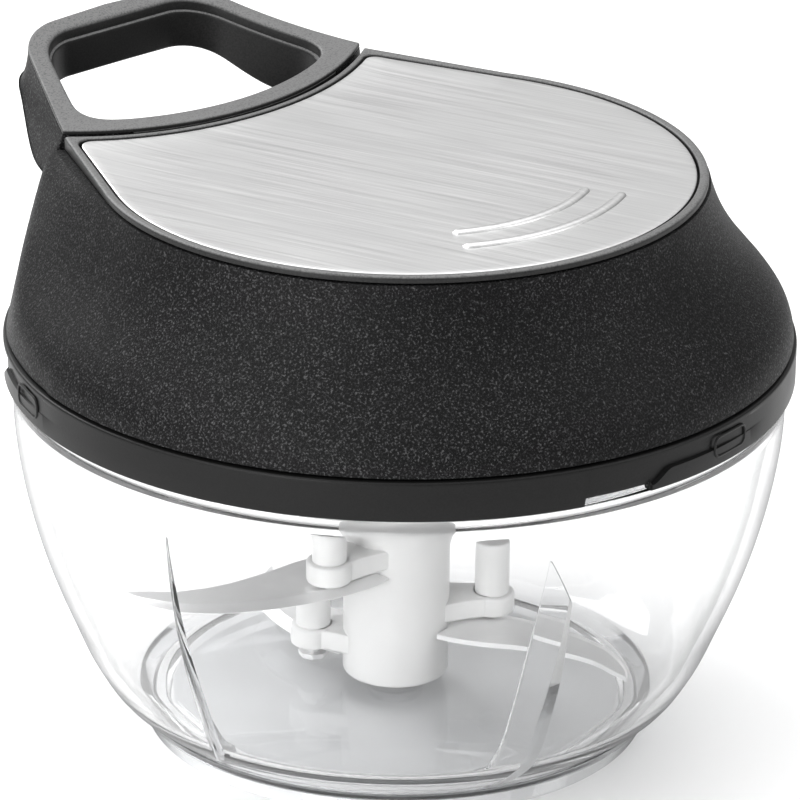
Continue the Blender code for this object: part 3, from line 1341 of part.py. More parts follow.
def cord_points():
    """The cord from its start on the drum, up five turns and out through the eyelet."""
    lay = DRUM_RADIUS + CORD_RADIUS + SEAT_GAP
    bend_y = eyelet_mouth_y() - CORD_RADIUS
    leave = 90 - math.degrees(math.acos(lay / bend_y))
    count = CORD_TURNS * CORD_LOOP_POINTS
    top = DRUM_SPACE_LOW + CORD_RADIUS + SEAT_GAP + CORD_TURNS * CORD_PITCH
    points = []
    for i in range(count + 1):
        back = count - i
        degrees = leave - 360 * back / CORD_LOOP_POINTS
        points.append((*polar(lay, degrees), top - CORD_PITCH * back / CORD_LOOP_POINTS))
    last = Vector(points[-1])
    goal = Vector((0, bend_y, CORD_Z))
    points += [tuple(last.lerp(goal, share)) for share in CORD_LEAD_SHARES]
    points.append((0, bend_y + CORD_RADIUS / 2, CORD_Z))
    points.append((0, ferrule_y() - FERRULE_RADIUS - SEAT_GAP, CORD_Z))
    return points


def make_cord():
    points = cord_points()
    path = np.array(points)
    least = 1.0
    reach = CORD_LOOP_POINTS // 2
    for i in range(len(path)):
        for j in range(i + reach, len(path)):
            least = min(least, float(np.linalg.norm(path[i] - path[j])))
    length = float(np.linalg.norm(np.diff(path, axis=0), axis=1).sum())
    print(f"pull_cord: length {length:.3f} m, least gap to itself {(least - 2 * CORD_RADIUS) * 1000:.2f} mm")
    return tube("pull_cord", points, CORD_RADIUS, CORD, 1)


def make_ferrule():
    low = CORD_Z - FERRULE_HEIGHT / 2
    high = CORD_Z + FERRULE_HEIGHT / 2
    edge = FERRULE_RADIUS / 4
    profile = [
        (0, high), (FERRULE_RADIUS - edge, high), (FERRULE_RADIUS, high - edge),
        (FERRULE_RADIUS, low + edge), (FERRULE_RADIUS - edge, low), (0, low),
    ]
    turned("cord_ferrule", profile, BRIGHT, SMALL_STEPS, (0, ferrule_y(), 0))


def build():
    make_bowl()
    make_bowl_pin()
    make_grip_pad()
    make_seal_ring()
    make_chopper()
    make_lid_band()
    make_lid_shell()
    make_lid_base()
    make_base_screws()
    make_bezel()
    make_plate()
    make_handle_body()
    make_handle_frame()
    make_handle_screws()
    make_drum()
    make_mainspring()
    make_axle()
    make_drive_coupling()
    make_pawls()
    make_bush()
    make_eyelet()
    make_cord()
    make_ferrule()


build()
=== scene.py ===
import json
import math

import bmesh
import bpy
import numpy as np
from mathutils import Matrix, Vector


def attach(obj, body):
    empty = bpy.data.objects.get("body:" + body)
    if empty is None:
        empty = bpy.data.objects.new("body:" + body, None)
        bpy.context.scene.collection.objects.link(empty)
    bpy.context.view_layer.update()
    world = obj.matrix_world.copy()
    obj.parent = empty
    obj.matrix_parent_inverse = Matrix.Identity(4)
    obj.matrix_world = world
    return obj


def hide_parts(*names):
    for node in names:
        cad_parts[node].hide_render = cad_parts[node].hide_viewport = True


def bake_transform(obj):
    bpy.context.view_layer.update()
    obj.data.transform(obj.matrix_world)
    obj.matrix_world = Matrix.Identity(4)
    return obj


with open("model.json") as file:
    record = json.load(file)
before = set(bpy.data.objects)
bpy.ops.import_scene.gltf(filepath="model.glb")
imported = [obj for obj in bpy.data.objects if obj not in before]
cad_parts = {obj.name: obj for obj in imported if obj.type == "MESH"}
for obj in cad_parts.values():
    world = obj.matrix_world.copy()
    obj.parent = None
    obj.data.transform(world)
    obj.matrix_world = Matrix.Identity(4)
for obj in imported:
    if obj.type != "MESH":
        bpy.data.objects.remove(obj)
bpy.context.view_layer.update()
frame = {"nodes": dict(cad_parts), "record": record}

NODES = frame["nodes"]
BODY_OF = {node: body for body, nodes in frame["record"]["behaviour"]["bodies"].items() for node in nodes}

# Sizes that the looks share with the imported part, in metres

# Shared clearances and overrun
SEAT_GAP = 0.0003
SEAM_GAP = 0.0008
RUN_GAP = 0.0006
LOCK_GAP = 0.0004
OVERRUN = 0.004
WELD = 0.000001

# Points round a small circle
SMALL_STEPS = 48

# Bowl
BOWL_RADIUS = 0.0615
BOWL_HEIGHT = 0.0602
BOWL_WALL = 0.0023
FOOT_RADIUS = 0.0404
FOOT_FLARE = 0.0021
FOOT_HEIGHT = 0.0050
FOOT_WIDTH = 0.0024
FOOT_LIFT = 0.0005
FLOOR_TOP = 0.0060
FLOOR_THICKNESS = 0.0024
FLOOR_RADIUS = 0.0370
FLANGE_EDGE = 0.0005
FLANGE_HEIGHT = 0.0013
RIM_WALL = 0.0022
RIM_HEIGHT = 0.0047
LUG_REACH = 0.0014
LUG_LOW = 0.0026
LUG_HEIGHT = 0.0016
PIN_BOSS_RADIUS = 0.0045
PIN_BOSS_RISE = 0.0014
PIN_RADIUS = 0.0020
PIN_DROP = 0.0262
WALL_ROUND = 0.0016
WALL_THICKEN_SHARE = 0.15
# Outer wall of the bowl: share of its radius at a share of its height, from the top down
BOWL_WALL_SHARES = (
    (1.000, 0.978), (0.997, 0.870), (0.980, 0.739), (0.951, 0.606), (0.911, 0.473),
    (0.860, 0.341), (0.801, 0.208), (0.757, 0.141), (0.712, 0.100),
)
FLOOR_BEND_START = 0.0020
FLOOR_BEND_REACH = 0.0035
FLOOR_BEND_END_SHARE = 0.92
BOWL_STEPS = 240
# Fins inside the bowl: directions and their turn from the radial in degrees, then sizes
FIN_PLACES = (-168.0, -106.0)
FIN_TURN = 46.0
FIN_HORN_TOP = 0.0498
FIN_WALL_TOP = 0.0390
FIN_REACH = 0.0043
FIN_SWELL = 0.0016
FIN_FOOT_FLARE = 0.0030
FIN_SINK = 0.0003
FIN_THICKNESS = 0.0016
FIN_TIP_SHARE = 0.16
FIN_STEPS = 40
# Reach of the small bends at each piece's edges
BOWL_EASE = 0.0004
BOSS_EASE = 0.0005
LUG_EASE = 0.0008
HOOK_EASE = 0.0006
COLLAR_EASE = 0.0006
POST_EASE = 0.0007

# Lid
LUG_COUNT = 3
LUG_DIRECTION = -101.5
LUG_HALF_ANGLE = 4.6
HOOK_START_ANGLE = 9.0
HOOK_END_ANGLE = 30.0
BAND_HEIGHT = 0.0064
BAND_WALL = 0.0019
BAND_OVERHANG = 0.0014
BAND_STEP = 0.0005
BAND_FLANGE_HEIGHT = 0.0013
HOOK_LIFT = 0.0003
HOOK_HEIGHT = 0.0015
NOTCH_START_ANGLE = -5.6
NOTCH_END_ANGLE = 5.2
NOTCH_RAMP_ANGLE = 9.0
RECESS_LEAD_ANGLE = 0.4
NOTCH_RISE = 0.0010
NOTCH_DEPTH = 0.0007
LIP_HEIGHT = 0.0030
RECESS_TOP_EDGE = 0.0007
RECESS_END_ANGLE = 32.0
RECESS_EDGE = 0.00012
LIP_LEAST = 0.0009
BAND_EDGE = 0.0004
# Raised frames on the band, each turned by this much from its notch
MARK_TURN = 21.3
MARK_HALF_WIDTH = 0.0041
MARK_HALF_HEIGHT = 0.0016
MARK_CORNER = 0.0012
MARK_LINE = 0.00024
MARK_SINK = 0.00002
LID_HEIGHT = 0.0335
SKIRT_REACH = 0.0148
SKIRT_WALL = 0.0022
SKIRT_EDGE = 0.0004
SKIRT_EDGE_RISE = 0.0002
SKIRT_STEPS = 288
SKIRT_LEVELS = 44
SIDE_ANGLE = 64.5
SHOULDER_SWELL = 0.0030
SHOULDER_FULL_ANGLE = 46.0
SHOULDER_END_ANGLE = 76.0
SECTOR_DRAFT = 0.0057
BLEND_WIDTH = 0.0012
# Skirt: share of the way out from the top rim to the band, at a share of the way up
SKIRT_SHARES = (
    (0.00, 1.000), (0.07, 0.985), (0.16, 0.930), (0.27, 0.800), (0.38, 0.630),
    (0.50, 0.445), (0.62, 0.290), (0.75, 0.160), (0.88, 0.065), (1.00, 0.000),
)
# Shoulder swell beside the handle: share of the swell at a share of the way up
SWELL_SHARES = ((0.0, 0.0), (0.25, 0.3), (0.5, 0.7), (0.72, 1.0), (0.88, 0.8), (1.0, 0.1))
DECK_THICKNESS = 0.0015
BEZEL_HEIGHT = 0.0010
BEZEL_WIDTH = 0.0015
BEZEL_SEAM_WIDTH = 0.0010
PLATE_GAP = 0.0004
PLATE_THICKNESS = 0.0006
PLATE_DROP = 0.0002
PLATE_CORNER = 0.0026
# Rim ring's crown: share of the way across, and drop below the common top
BEZEL_CROWN = (
    (0.0, 0.00045), (0.03, 0.00024), (0.10, 0.00009), (0.22, 0.00001), (0.5, 0.0),
    (0.78, 0.00001), (0.90, 0.00007), (0.97, 0.0002), (1.0, 0.0004),
)
# Plate: its rounded edge as share of the outline and drop, then rings across its top and its back
PLATE_ROUND = ((1.0, 0.0001), (0.998, 0.00003), (0.994, 0.0))
PLATE_RINGS = (0.97, 0.93, 0.88, 0.82, 0.75, 0.66, 0.55, 0.42, 0.28, 0.14)
PLATE_BACK_RINGS = (0.28, 0.55, 0.8, 0.93)
RIDGE_INSETS = (0.0182, 0.0123)
RIDGE_HALF_ANGLE = 28.8
RIDGE_HALF_WIDTH = 0.0009
RIDGE_HEIGHT_SHARE = 0.55
POST_RADIUS = 0.0032
POST_PITCH_RADIUS = 0.0450
POST_DIRECTION = 30.0
POST_COUNT = 3
BASE_THICKNESS = 0.0018
BASE_DROP = 0.0028

# Seam and handle
SEAM_INSET = 0.0144
SEAM_RADIUS = 0.0604
SEAM_WALL = 0.0020
POCKET_DEPTH = 0.0075
TOP_RISE_LEAD = 0.0057
TOP_RISE = 0.0081
HANDLE_OVERHANG = 0.0078
SIDE_STEP = 0.0003
# Handle at each level over the rim's plane: growth of its side, growth of its end, corner radius
HANDLE_LEVELS = (
    (0.0105, -0.0004, -0.0005, 0.0130), (0.0020, 0.0000, 0.0019, 0.0122),
    (-0.0010, 0.0010, 0.0036, 0.0135), (-0.0078, 0.0028, -0.0007, 0.0190),
)
END_BULGE = 0.0005
TAIL_LENGTH = 0.0187
TAIL_RISE = 0.0072
BAR_DEPTH = 0.0044
FRAME_SIDE_WIDTH = 0.0042
FRAME_END_WIDTH = 0.0032
HOLE_CORNER_RADIUS = 0.0092
HOLE_NEAR_CORNER = 0.0060
BEND_ROOM_SHARE = 1.25
FRAME_LIFT = 0.0005
FRAME_THICKNESS = 0.0018
FRAME_EDGE = 0.0006
FRAME_INSET = 0.0016
HOLE_LEDGE = 0.0004
LINING = 0.0012
HANDLE_CENTRE = (0.0, 0.0535)
HANDLE_LOW = -0.0080
HANDLE_HIGH = 0.0105
HANDLE_WALL_LEVELS = 24
# Frame's rounded edges: reach in from the outer edge or out from the ledge, and drop
FRAME_OUTER_ROUND = ((0.0, 0.00032), (0.00004, 0.00016), (0.00014, 0.00005), (0.0003, 0.0), (0.0006, 0.0))
FRAME_INNER_ROUND = ((0.0008, 0.0), (0.0005, 0.00002), (0.00025, 0.0001), (0.00008, 0.00026), (0.0, 0.0005))
# Ledge in the hole: share of the way from its edge to the lining, and drop
LEDGE_ROUND = ((0.35, 0.0), (0.8, 0.00003), (1.0, 0.0002), (1.0, 0.0005))
# Body's lower edge: rise over the underside, and share of the bend's reach
BODY_ROUND = ((0.0007, 0.04), (0.0003, 0.22), (0.0001, 0.5), (0.0, 1.0))
BODY_ROUND_REACH = 0.0012
BODY_LEAST_ROOM = 0.0010
BAR_HALF_WIDTH = 0.0220
BAR_REACH = 0.0120
SCOOP_START_DROP = 0.0008
SCOOP_LENGTH = 0.0250
SCOOP_FALL = 0.0075

# Cord and drum
CORD_RADIUS = 0.0007
CORD_TURNS = 5
CORD_SLACK = 0.0030
CORD_HEIGHT = 0.0053
CORD_LOOP_POINTS = 24
CORD_LEAD_SHARES = (0.3, 0.6, 0.97)
DRUM_RADIUS = 0.0165
DRUM_FLANGE = 0.0009
DRUM_DECK_GAP = 0.0006
DRUM_FLOOR = 0.0015
CENTRE_POST_RADIUS = 0.0040
RATCHET_DEPTH = 0.0045
DRIVER_DISC = 0.0016
STEM_COLLAR = 0.0014
COLLAR_LIFT = 0.0014
BUSH_HEIGHT = 0.0030
BUSH_DROP = 0.0003
EYELET_WALL = 0.0005
EYELET_FLANGE = 0.0008
FERRULE_RADIUS = 0.0012
FERRULE_HEIGHT = 0.0024
FERRULE_OFFSET = 0.0022

# Chopper
HUB_RADIUS = 0.0086
HUB_ROUND = 0.0016
HUB_DROP = 0.0025
SOCKET_RADIUS = 0.0058
SOCKET_DEPTH = 0.0080
SPLINE_COUNT = 3
RIB_HALF_ANGLE = 15.0
RIB_RADIUS = 0.0042
BLADE_NAMES = ("upper", "middle", "lower")
BLADE_DIRECTIONS = (157.0, 286.0, 81.0)
BLADE_RISES = (0.0210, 0.0096, 0.0042)
BLADE_PIN_ANGLES = (27.0, 40.0, 50.0)
BLADE_PIN_PITCHES = (0.0160, 0.0158, 0.0135)
BLADE_PIN_HEIGHTS = (0.0090, 0.0090, 0.0052)
BLADE_THICKNESS = 0.0008
BLADE_EDGE = 0.00018
BLADE_GRIND = 0.0022
GRIND_FADE_SHARE = 0.4
BLADE_LENGTHS = (0.0460, 0.0420, 0.0370)
BLADE_ROOT_RADIUS = 0.0092
# Cutting edge and back of a blade: share of the way from hub to tip, degrees from the tip
BLADE_EDGE_SHARES = (
    (0.00, 62.0), (0.09, 53.0), (0.20, 43.0), (0.33, 35.0), (0.46, 28.5), (0.60, 22.8),
    (0.73, 17.8), (0.83, 13.2), (0.91, 8.0), (0.97, 3.6), (1.00, 0.0),
)
BLADE_BACK_SHARES = (
    (0.91, 1.5), (0.78, 4.2), (0.60, 5.2), (0.41, 3.0), (0.23, -3.0), (0.09, -9.5),
    (0.00, -14.0), (0.00, 4.0), (0.00, 23.0), (0.00, 42.0),
)
# A blade's ground edge: share of the grind, and share of the thickness, where its bend ends
GRIND_BEND_SHARE = 0.96
GRIND_TOP_SHARE = 0.93
ARM_HEIGHT = 0.0034
# Arms: half-widths at the collar and at the hub as shares of their radii, then edges as inset and rise
ARM_TIP_SHARE = 0.86
ARM_ROOT_SHARE = 0.56
ARM_START_SHARE = 0.8
ARM_LOW_ROUND = ((0.0004, 0.0), (0.0, 0.0004))
ARM_TOP_ROUND = ((0.0, 0.0005), (0.0002, 0.00015), (0.0006, 0.0))
COLLAR_RADIUS = 0.0037
BLADE_PIN_RADIUS = 0.0028
RIVET_SHANK_RADIUS = 0.0011

# Screws
SCREW_HEAD_HEIGHT = 0.0015
SCREW_RADIUS = 0.0011
HANDLE_SCREW_X = 0.0280
HANDLE_SCREW_MARGIN = 0.0027
HANDLE_SCREW_HEAD_RADIUS = 0.0017

# Radii and places that follow from the sizes above
FLANGE_RADIUS = BOWL_RADIUS + FLANGE_EDGE
BAND_RADIUS = BOWL_RADIUS + BAND_OVERHANG
RIM_RADIUS = BAND_RADIUS - BAND_WALL - LOCK_GAP - LUG_REACH
LUG_RADIUS = RIM_RADIUS + LUG_REACH
HOOK_RADIUS = RIM_RADIUS + LOCK_GAP
BAND_FLANGE_RADIUS = RIM_RADIUS + SEAT_GAP * 2
SKIRT_RADIUS = BAND_RADIUS - BAND_STEP
RIM_TOP_RADIUS = BAND_RADIUS - SKIRT_REACH
RIDGE_RADII = [RIM_TOP_RADIUS - inset for inset in RIDGE_INSETS]
SEAM_Y = RIM_TOP_RADIUS - SEAM_INSET
SEAM_CENTRE_Y = SEAM_Y + SEAM_RADIUS
HANDLE_RADIUS = SEAM_RADIUS - SEAM_GAP
HANDLE_SIDE = RIM_TOP_RADIUS - SIDE_STEP
HANDLE_END = BAND_RADIUS + HANDLE_OVERHANG
HOLE_NEAR_RADIUS = HANDLE_RADIUS - BAR_DEPTH
HOLE_SIDE = HANDLE_SIDE - FRAME_SIDE_WIDTH
HOLE_END = HANDLE_END - FRAME_END_WIDTH
TOP_RISE_START = SEAM_Y - TOP_RISE_LEAD

# Heights that follow from the sizes above
RIM_TOP = BOWL_HEIGHT + RIM_HEIGHT
BAND_LOW = BOWL_HEIGHT + SEAT_GAP
BAND_TOP = BAND_LOW + BAND_HEIGHT
SKIRT_LOW = BAND_TOP + SEAT_GAP
RIM_PLANE = BAND_LOW + LID_HEIGHT
DECK_TOP = RIM_PLANE - BEZEL_HEIGHT - SEAT_GAP
DECK_LOW = DECK_TOP - DECK_THICKNESS
POCKET_FLOOR = RIM_PLANE - POCKET_DEPTH
CORD_Z = RIM_PLANE - CORD_HEIGHT
BASE_FLANGE_LOW = SKIRT_LOW
BASE_LOW = BASE_FLANGE_LOW - BASE_DROP
BASE_TOP = BASE_LOW + BASE_THICKNESS
DRUM_TOP = DECK_LOW - DRUM_DECK_GAP
DRUM_SPACE_TOP = DRUM_TOP - DRUM_FLANGE
BUSH_LOW = BASE_LOW - BUSH_DROP
BUSH_TOP = BUSH_LOW + BUSH_HEIGHT
DRIVER_DISC_LOW = BUSH_TOP + STEM_COLLAR + COLLAR_LIFT
DRIVER_DISC_TOP = DRIVER_DISC_LOW + DRIVER_DISC
RATCHET_LOW = DRIVER_DISC_TOP - SEAT_GAP
DRUM_LOW = RATCHET_LOW + RATCHET_DEPTH
DRUM_SPACE_LOW = DRUM_LOW + DRUM_FLOOR
CORD_PITCH = (DRUM_SPACE_TOP - DRUM_SPACE_LOW - CORD_SLACK) / CORD_TURNS
PIN_TOP = BOWL_HEIGHT - PIN_DROP
BLADE_LEVELS = [FLOOR_TOP + rise for rise in BLADE_RISES]
BLADES = list(zip(BLADE_NAMES, BLADE_LENGTHS, BLADE_DIRECTIONS, BLADE_LEVELS, BLADE_PIN_ANGLES,
                  BLADE_PIN_PITCHES, BLADE_PIN_HEIGHTS))
HUB_TOP = BUSH_LOW - HUB_DROP
SOCKET_LOW = HUB_TOP - SOCKET_DEPTH
HUB_LOW = FLOOR_TOP + PIN_BOSS_RISE + SEAT_GAP

# Turn of the plate's brush lines, in degrees
BRUSH_TURN = 72.0


# Materials


class Look:
    """One procedural material, built up with short calls."""

    def __init__(self, name):
        self.made = bpy.data.materials.new(name)
        self.made.use_nodes = True
        self.tree = self.made.node_tree
        self.shader = self.tree.nodes["Principled BSDF"]
        self.out = self.tree.nodes["Material Output"]
        self.where = self.node("ShaderNodeTexCoord").outputs["Object"]

    def node(self, kind, **settings):
        made = self.tree.nodes.new(kind)
        for key, value in settings.items():
            setattr(made, key, value)
        return made

    def link(self, source, target):
        self.tree.links.new(source, target)

    def plain(self, **values):
        for key, value in values.items():
            socket = self.shader.inputs[key.replace("_", " ")]
            socket.default_value = (*value, 1.0) if isinstance(value, tuple) else value

    def mapped(self, scale, turn=0.0):
        """Object coordinates turned about Z, then stretched."""
        spun = self.node("ShaderNodeMapping")
        spun.inputs["Rotation"].default_value = (0, 0, math.radians(turn))
        self.link(self.where, spun.inputs["Vector"])
        step = self.node("ShaderNodeMapping")
        step.inputs["Scale"].default_value = scale
        self.link(spun.outputs["Vector"], step.inputs["Vector"])
        return step.outputs["Vector"]

    def noise(self, scale, detail=2.0, roughness=0.5, vector=None):
        step = self.node("ShaderNodeTexNoise")
        step.inputs["Scale"].default_value = scale
        step.inputs["Detail"].default_value = detail
        step.inputs["Roughness"].default_value = roughness
        self.link(vector or self.where, step.inputs["Vector"])
        return step.outputs["Fac"]

    def cells(self, scale):
        step = self.node("ShaderNodeTexVoronoi")
        step.inputs["Scale"].default_value = scale
        self.link(self.where, step.inputs["Vector"])
        return step.outputs["Distance"]

    def ramp(self, value, low, high, start=0.0, end=1.0):
        step = self.node("ShaderNodeMapRange")
        step.inputs["From Min"].default_value = low
        step.inputs["From Max"].default_value = high
        step.inputs["To Min"].default_value = start
        step.inputs["To Max"].default_value = end
        self.link(value, step.inputs["Value"])
        return step.outputs["Result"]

    def maths(self, kind, a, b):
        step = self.node("ShaderNodeMath", operation=kind)
        for socket, value in zip(step.inputs, (a, b)):
            if isinstance(value, (int, float)):
                socket.default_value = value
            else:
                self.link(value, socket)
        return step.outputs["Value"]

    def colours(self, value, stops):
        step = self.node("ShaderNodeValToRGB")
        bar = step.color_ramp
        while len(bar.elements) < len(stops):
            bar.elements.new(0.5)
        for element, (place, colour) in zip(bar.elements, stops):
            element.position = place
            element.color = (*colour, 1.0)
        self.link(value, step.inputs["Fac"])
        return step.outputs["Color"]

    def colour(self, source):
        self.link(source, self.shader.inputs["Base Color"])

    def rough(self, source):
        self.link(source, self.shader.inputs["Roughness"])

    def mix(self, share, first, second):
        step = self.node("ShaderNodeMixShader")
        for socket, source in zip(step.inputs, (share, first, second)):
            self.link(source, socket)
        return step.outputs[0]

    def see_through(self, colour):
        step = self.node("ShaderNodeBsdfTransparent")
        step.inputs["Color"].default_value = (*colour, 1.0)
        return step.outputs[0]

    def bump(self, height, strength, distance):
        step = self.node("ShaderNodeBump")
        step.inputs["Strength"].default_value = strength
        step.inputs["Distance"].default_value = distance
        self.link(height, step.inputs["Height"])
        self.link(step.outputs["Normal"], self.shader.inputs["Normal"])


def speckled_plastic():
    look = Look("speckled_plastic")
    look.plain(Specular_IOR_Level=0.13)
    grain = look.noise(3000, 2.0, 0.62)
    coarse = look.noise(1500, 1.0, 0.5)
    broad = look.noise(34, 2.0, 0.5)
    fleck = look.ramp(grain, 0.44, 0.70)
    wide = look.ramp(coarse, 0.55, 0.75, 0.0, 0.20)
    tone = look.maths("MULTIPLY", look.maths("ADD", fleck, wide), look.ramp(broad, 0.3, 0.7, 0.85, 1.1))
    look.colour(look.colours(tone, [(0.0, (0.0022, 0.0022, 0.0024)), (0.35, (0.006, 0.006, 0.0062)),
                                    (0.75, (0.024, 0.024, 0.025)), (1.0, (0.062, 0.062, 0.063))]))
    look.rough(look.ramp(grain, 0.3, 0.7, 0.62, 0.46))
    look.bump(grain, 0.4, 0.00010)
    return look.made


def smooth_plastic(name, dark, light, grip, side):
    """Moulded plastic with painted shade: its upright walls are darker by the share given as side."""
    look = Look(name)
    look.plain(Specular_IOR_Level=grip)
    grain = look.noise(3200, 2.0, 0.6)
    # Painted shade: the colour darkens where the surface's normal turns from up to upright.
    split = look.node("ShaderNodeSeparateXYZ")
    look.link(look.node("ShaderNodeTexCoord").outputs["Normal"], split.inputs[0])
    walls = look.ramp(split.outputs["Z"], 0.25, 0.80, side, 1.0)
    broad = look.noise(90, 2.0, 0.5)
    tone = look.maths("MULTIPLY", look.ramp(grain, 0.3, 0.7, 0.5, 1.4),
                      look.ramp(broad, 0.3, 0.7, 0.92, 1.05))
    tone = look.maths("MULTIPLY", tone, walls)
    look.colour(look.colours(tone, [(0.0, (dark, dark, dark)), (1.0, (light, light, light))]))
    look.rough(look.ramp(broad, 0.3, 0.7, 0.38, 0.46))
    look.bump(grain, 0.3, 0.00005)
    return look.made


def brushed_plate():
    look = Look("brushed_plate")
    look.plain(Metallic=1.0)
    lines = look.noise(1.0, 3.0, 0.6, look.mapped((60, 5200, 60), BRUSH_TURN))
    wide = look.noise(1.0, 3.0, 0.6, look.mapped((22, 1300, 22), BRUSH_TURN))
    soft = look.noise(26, 2.0, 0.5)
    both = look.maths("ADD", look.maths("MULTIPLY", lines, 0.55), look.maths("MULTIPLY", wide, 0.45))
    tone = look.maths("ADD", both, look.ramp(soft, 0.3, 0.7, -0.04, 0.04))
    look.colour(look.colours(tone, [(0.32, (0.60, 0.60, 0.60)), (0.68, (0.76, 0.76, 0.757))]))
    look.rough(look.ramp(both, 0.3, 0.7, 0.34, 0.44))
    look.bump(both, 0.10, 0.00003)
    return look.made


def bright_steel():
    look = Look("bright_steel")
    look.plain(Metallic=0.45)
    lines = look.noise(1.0, 3.0, 0.6, look.mapped((900, 900, 5200)))
    wide = look.noise(130, 2.0, 0.5)
    look.colour(look.colours(wide, [(0.3, (0.80, 0.80, 0.80)), (0.7, (0.88, 0.88, 0.88))]))
    look.rough(look.ramp(lines, 0.3, 0.7, 0.34, 0.46))
    look.bump(lines, 0.05, 0.00002)
    return look.made


def moulded(name, low, high, wide_scale, fine_scale, rough, bump):
    """A moulded stuff: colour shifts broadly from low to high, and gloss and relief finely."""
    look = Look(name)
    fine = look.noise(fine_scale)
    look.colour(look.colours(look.noise(wide_scale), [(0.3, low), (0.7, high)]))
    look.rough(look.ramp(fine, 0.3, 0.7, *rough))
    look.bump(fine, *bump)
    return look.made


def bush_brass():
    look = Look("bush_brass")
    look.plain(Metallic=1.0)
    lines = look.noise(1.0, 3.0, 0.6, look.mapped((200, 200, 6000)))
    look.colour(look.colours(lines, [(0.3, (0.62, 0.44, 0.18)), (0.7, (0.80, 0.62, 0.30))]))
    look.rough(look.ramp(lines, 0.3, 0.7, 0.24, 0.38))
    return look.made


def braided_cord():
    look = Look("braided_cord")
    look.plain(Roughness=0.85)
    weave = look.cells(3400)
    # Painted shade: the colour darkens from the middle of each cell of the weave towards the gaps between
    # strands.
    look.colour(look.colours(weave, [(0.0, (0.62, 0.62, 0.60)), (0.6, (0.30, 0.30, 0.29))]))
    look.bump(weave, 0.5, 0.00012)
    return look.made


def clear_plastic():
    look = Look("clear_plastic")
    look.plain(Roughness=0.02, IOR=1.46, Transmission_Weight=1.0, Base_Color=(0.97, 0.975, 0.98))
    # Painted shade: the colour darkens to grey where the wall turns away from the view, in place of the
    # darker edges that refraction gives.
    edge = look.node("ShaderNodeLayerWeight")
    edge.inputs["Blend"].default_value = 0.5
    wide = look.ramp(look.noise(40, 2.0, 0.5), 0.3, 0.7, -0.01, 0.01)
    facing = look.maths("ADD", edge.outputs["Facing"], wide)
    look.colour(look.colours(facing, [(0.0, (0.985, 0.986, 0.988)), (0.62, (0.965, 0.967, 0.970)),
                                      (0.80, (0.70, 0.705, 0.71)), (0.95, (0.20, 0.205, 0.21))]))
    look.rough(look.ramp(look.noise(120, 2.0, 0.5), 0.3, 0.7, 0.010, 0.030))
    # Painted shade: a grey edge where the wall turns away, and clear shadows
    rim = look.mix(look.ramp(facing, 0.78, 0.96, 0.0, 0.70), look.shader.outputs[0],
                   look.see_through((0.42, 0.425, 0.43)))
    shadow = look.node("ShaderNodeLightPath").outputs["Is Shadow Ray"]
    whole = look.mix(shadow, rim, look.see_through((0.97, 0.972, 0.975)))
    look.link(whole, look.out.inputs["Surface"])
    fog = look.node("ShaderNodeVolumeAbsorption")
    fog.inputs["Color"].default_value = (0.30, 0.31, 0.32, 1.0)
    fog.inputs["Density"].default_value = 12.0
    look.link(fog.outputs[0], look.out.inputs["Volume"])
    return look.made


LOOKS = {
    "clear_plastic": clear_plastic(),
    "speckled_plastic": speckled_plastic(),
    # The last number to smooth_plastic is the share of colour kept on upright walls, darkened there as
    # painted shade.
    "smooth_plastic": smooth_plastic("smooth_plastic", 0.002, 0.008, 0.20, 0.6),
    "grained_plastic": smooth_plastic("grained_plastic", 0.003, 0.150, 0.24, 0.08),
    "brushed_plate": brushed_plate(),
    "bright_steel": bright_steel(),
    "white_plastic": moulded("white_plastic", (0.74, 0.74, 0.735), (0.79, 0.79, 0.785), 110, 2400,
                             (0.28, 0.38), (0.05, 0.00004)),
    "grey_silicone": moulded("grey_silicone", (0.70, 0.705, 0.71), (0.78, 0.785, 0.79), 70, 1800,
                             (0.58, 0.70), (0.08, 0.00006)),
    "white_silicone": moulded("white_silicone", (0.80, 0.80, 0.79), (0.87, 0.87, 0.86), 70, 1800,
                              (0.58, 0.70), (0.08, 0.00006)),
    "inner_plastic": moulded("inner_plastic", (0.020, 0.020, 0.021), (0.034, 0.034, 0.036), 60, 3000,
                             (0.42, 0.55), (0.1, 0.00005)),
    "bush_brass": bush_brass(),
    "cord": braided_cord(),
}
SLOT_OF = {entry["node"]: entry["material_slot"] for entry in frame["record"]["subparts"]}
for name, node in NODES.items():
    node.data.materials.clear()
    node.data.materials.append(LOOKS[SLOT_OF[name]])
    node.data.shade_smooth()
    node.data.set_sharp_from_angle(angle=math.radians(32))


# Shared shape functions


def combine(target, tool, operation):
    step = target.modifiers.new(operation.lower(), "BOOLEAN")
    step.operation = operation
    step.object = tool
    step.solver = "EXACT"


def cut(target, *tools):
    for tool in tools:
        combine(target, tool, "DIFFERENCE")


def join(target, *tools):
    for tool in tools:
        combine(target, tool, "UNION")


def keep_inside(target, *tools):
    for tool in tools:
        combine(target, tool, "INTERSECT")


def polar(radius, degrees):
    angle = math.radians(degrees)
    return radius * math.cos(angle), radius * math.sin(angle)


def arc(radius, start, end, count, centre=(0, 0)):
    """Points on an arc between two directions in degrees."""
    made = []
    for i in range(count):
        x, y = polar(radius, start + (end - start) * i / (count - 1))
        made.append((centre[0] + x, centre[1] + y))
    return made


def circle(radius, centre=(0, 0), count=SMALL_STEPS):
    return arc(radius, 0, 360 - 360 / count, count, centre)


def sector(inner, outer, start, end, count=8):
    return arc(outer, start, end, count) + arc(inner, end, start, count)


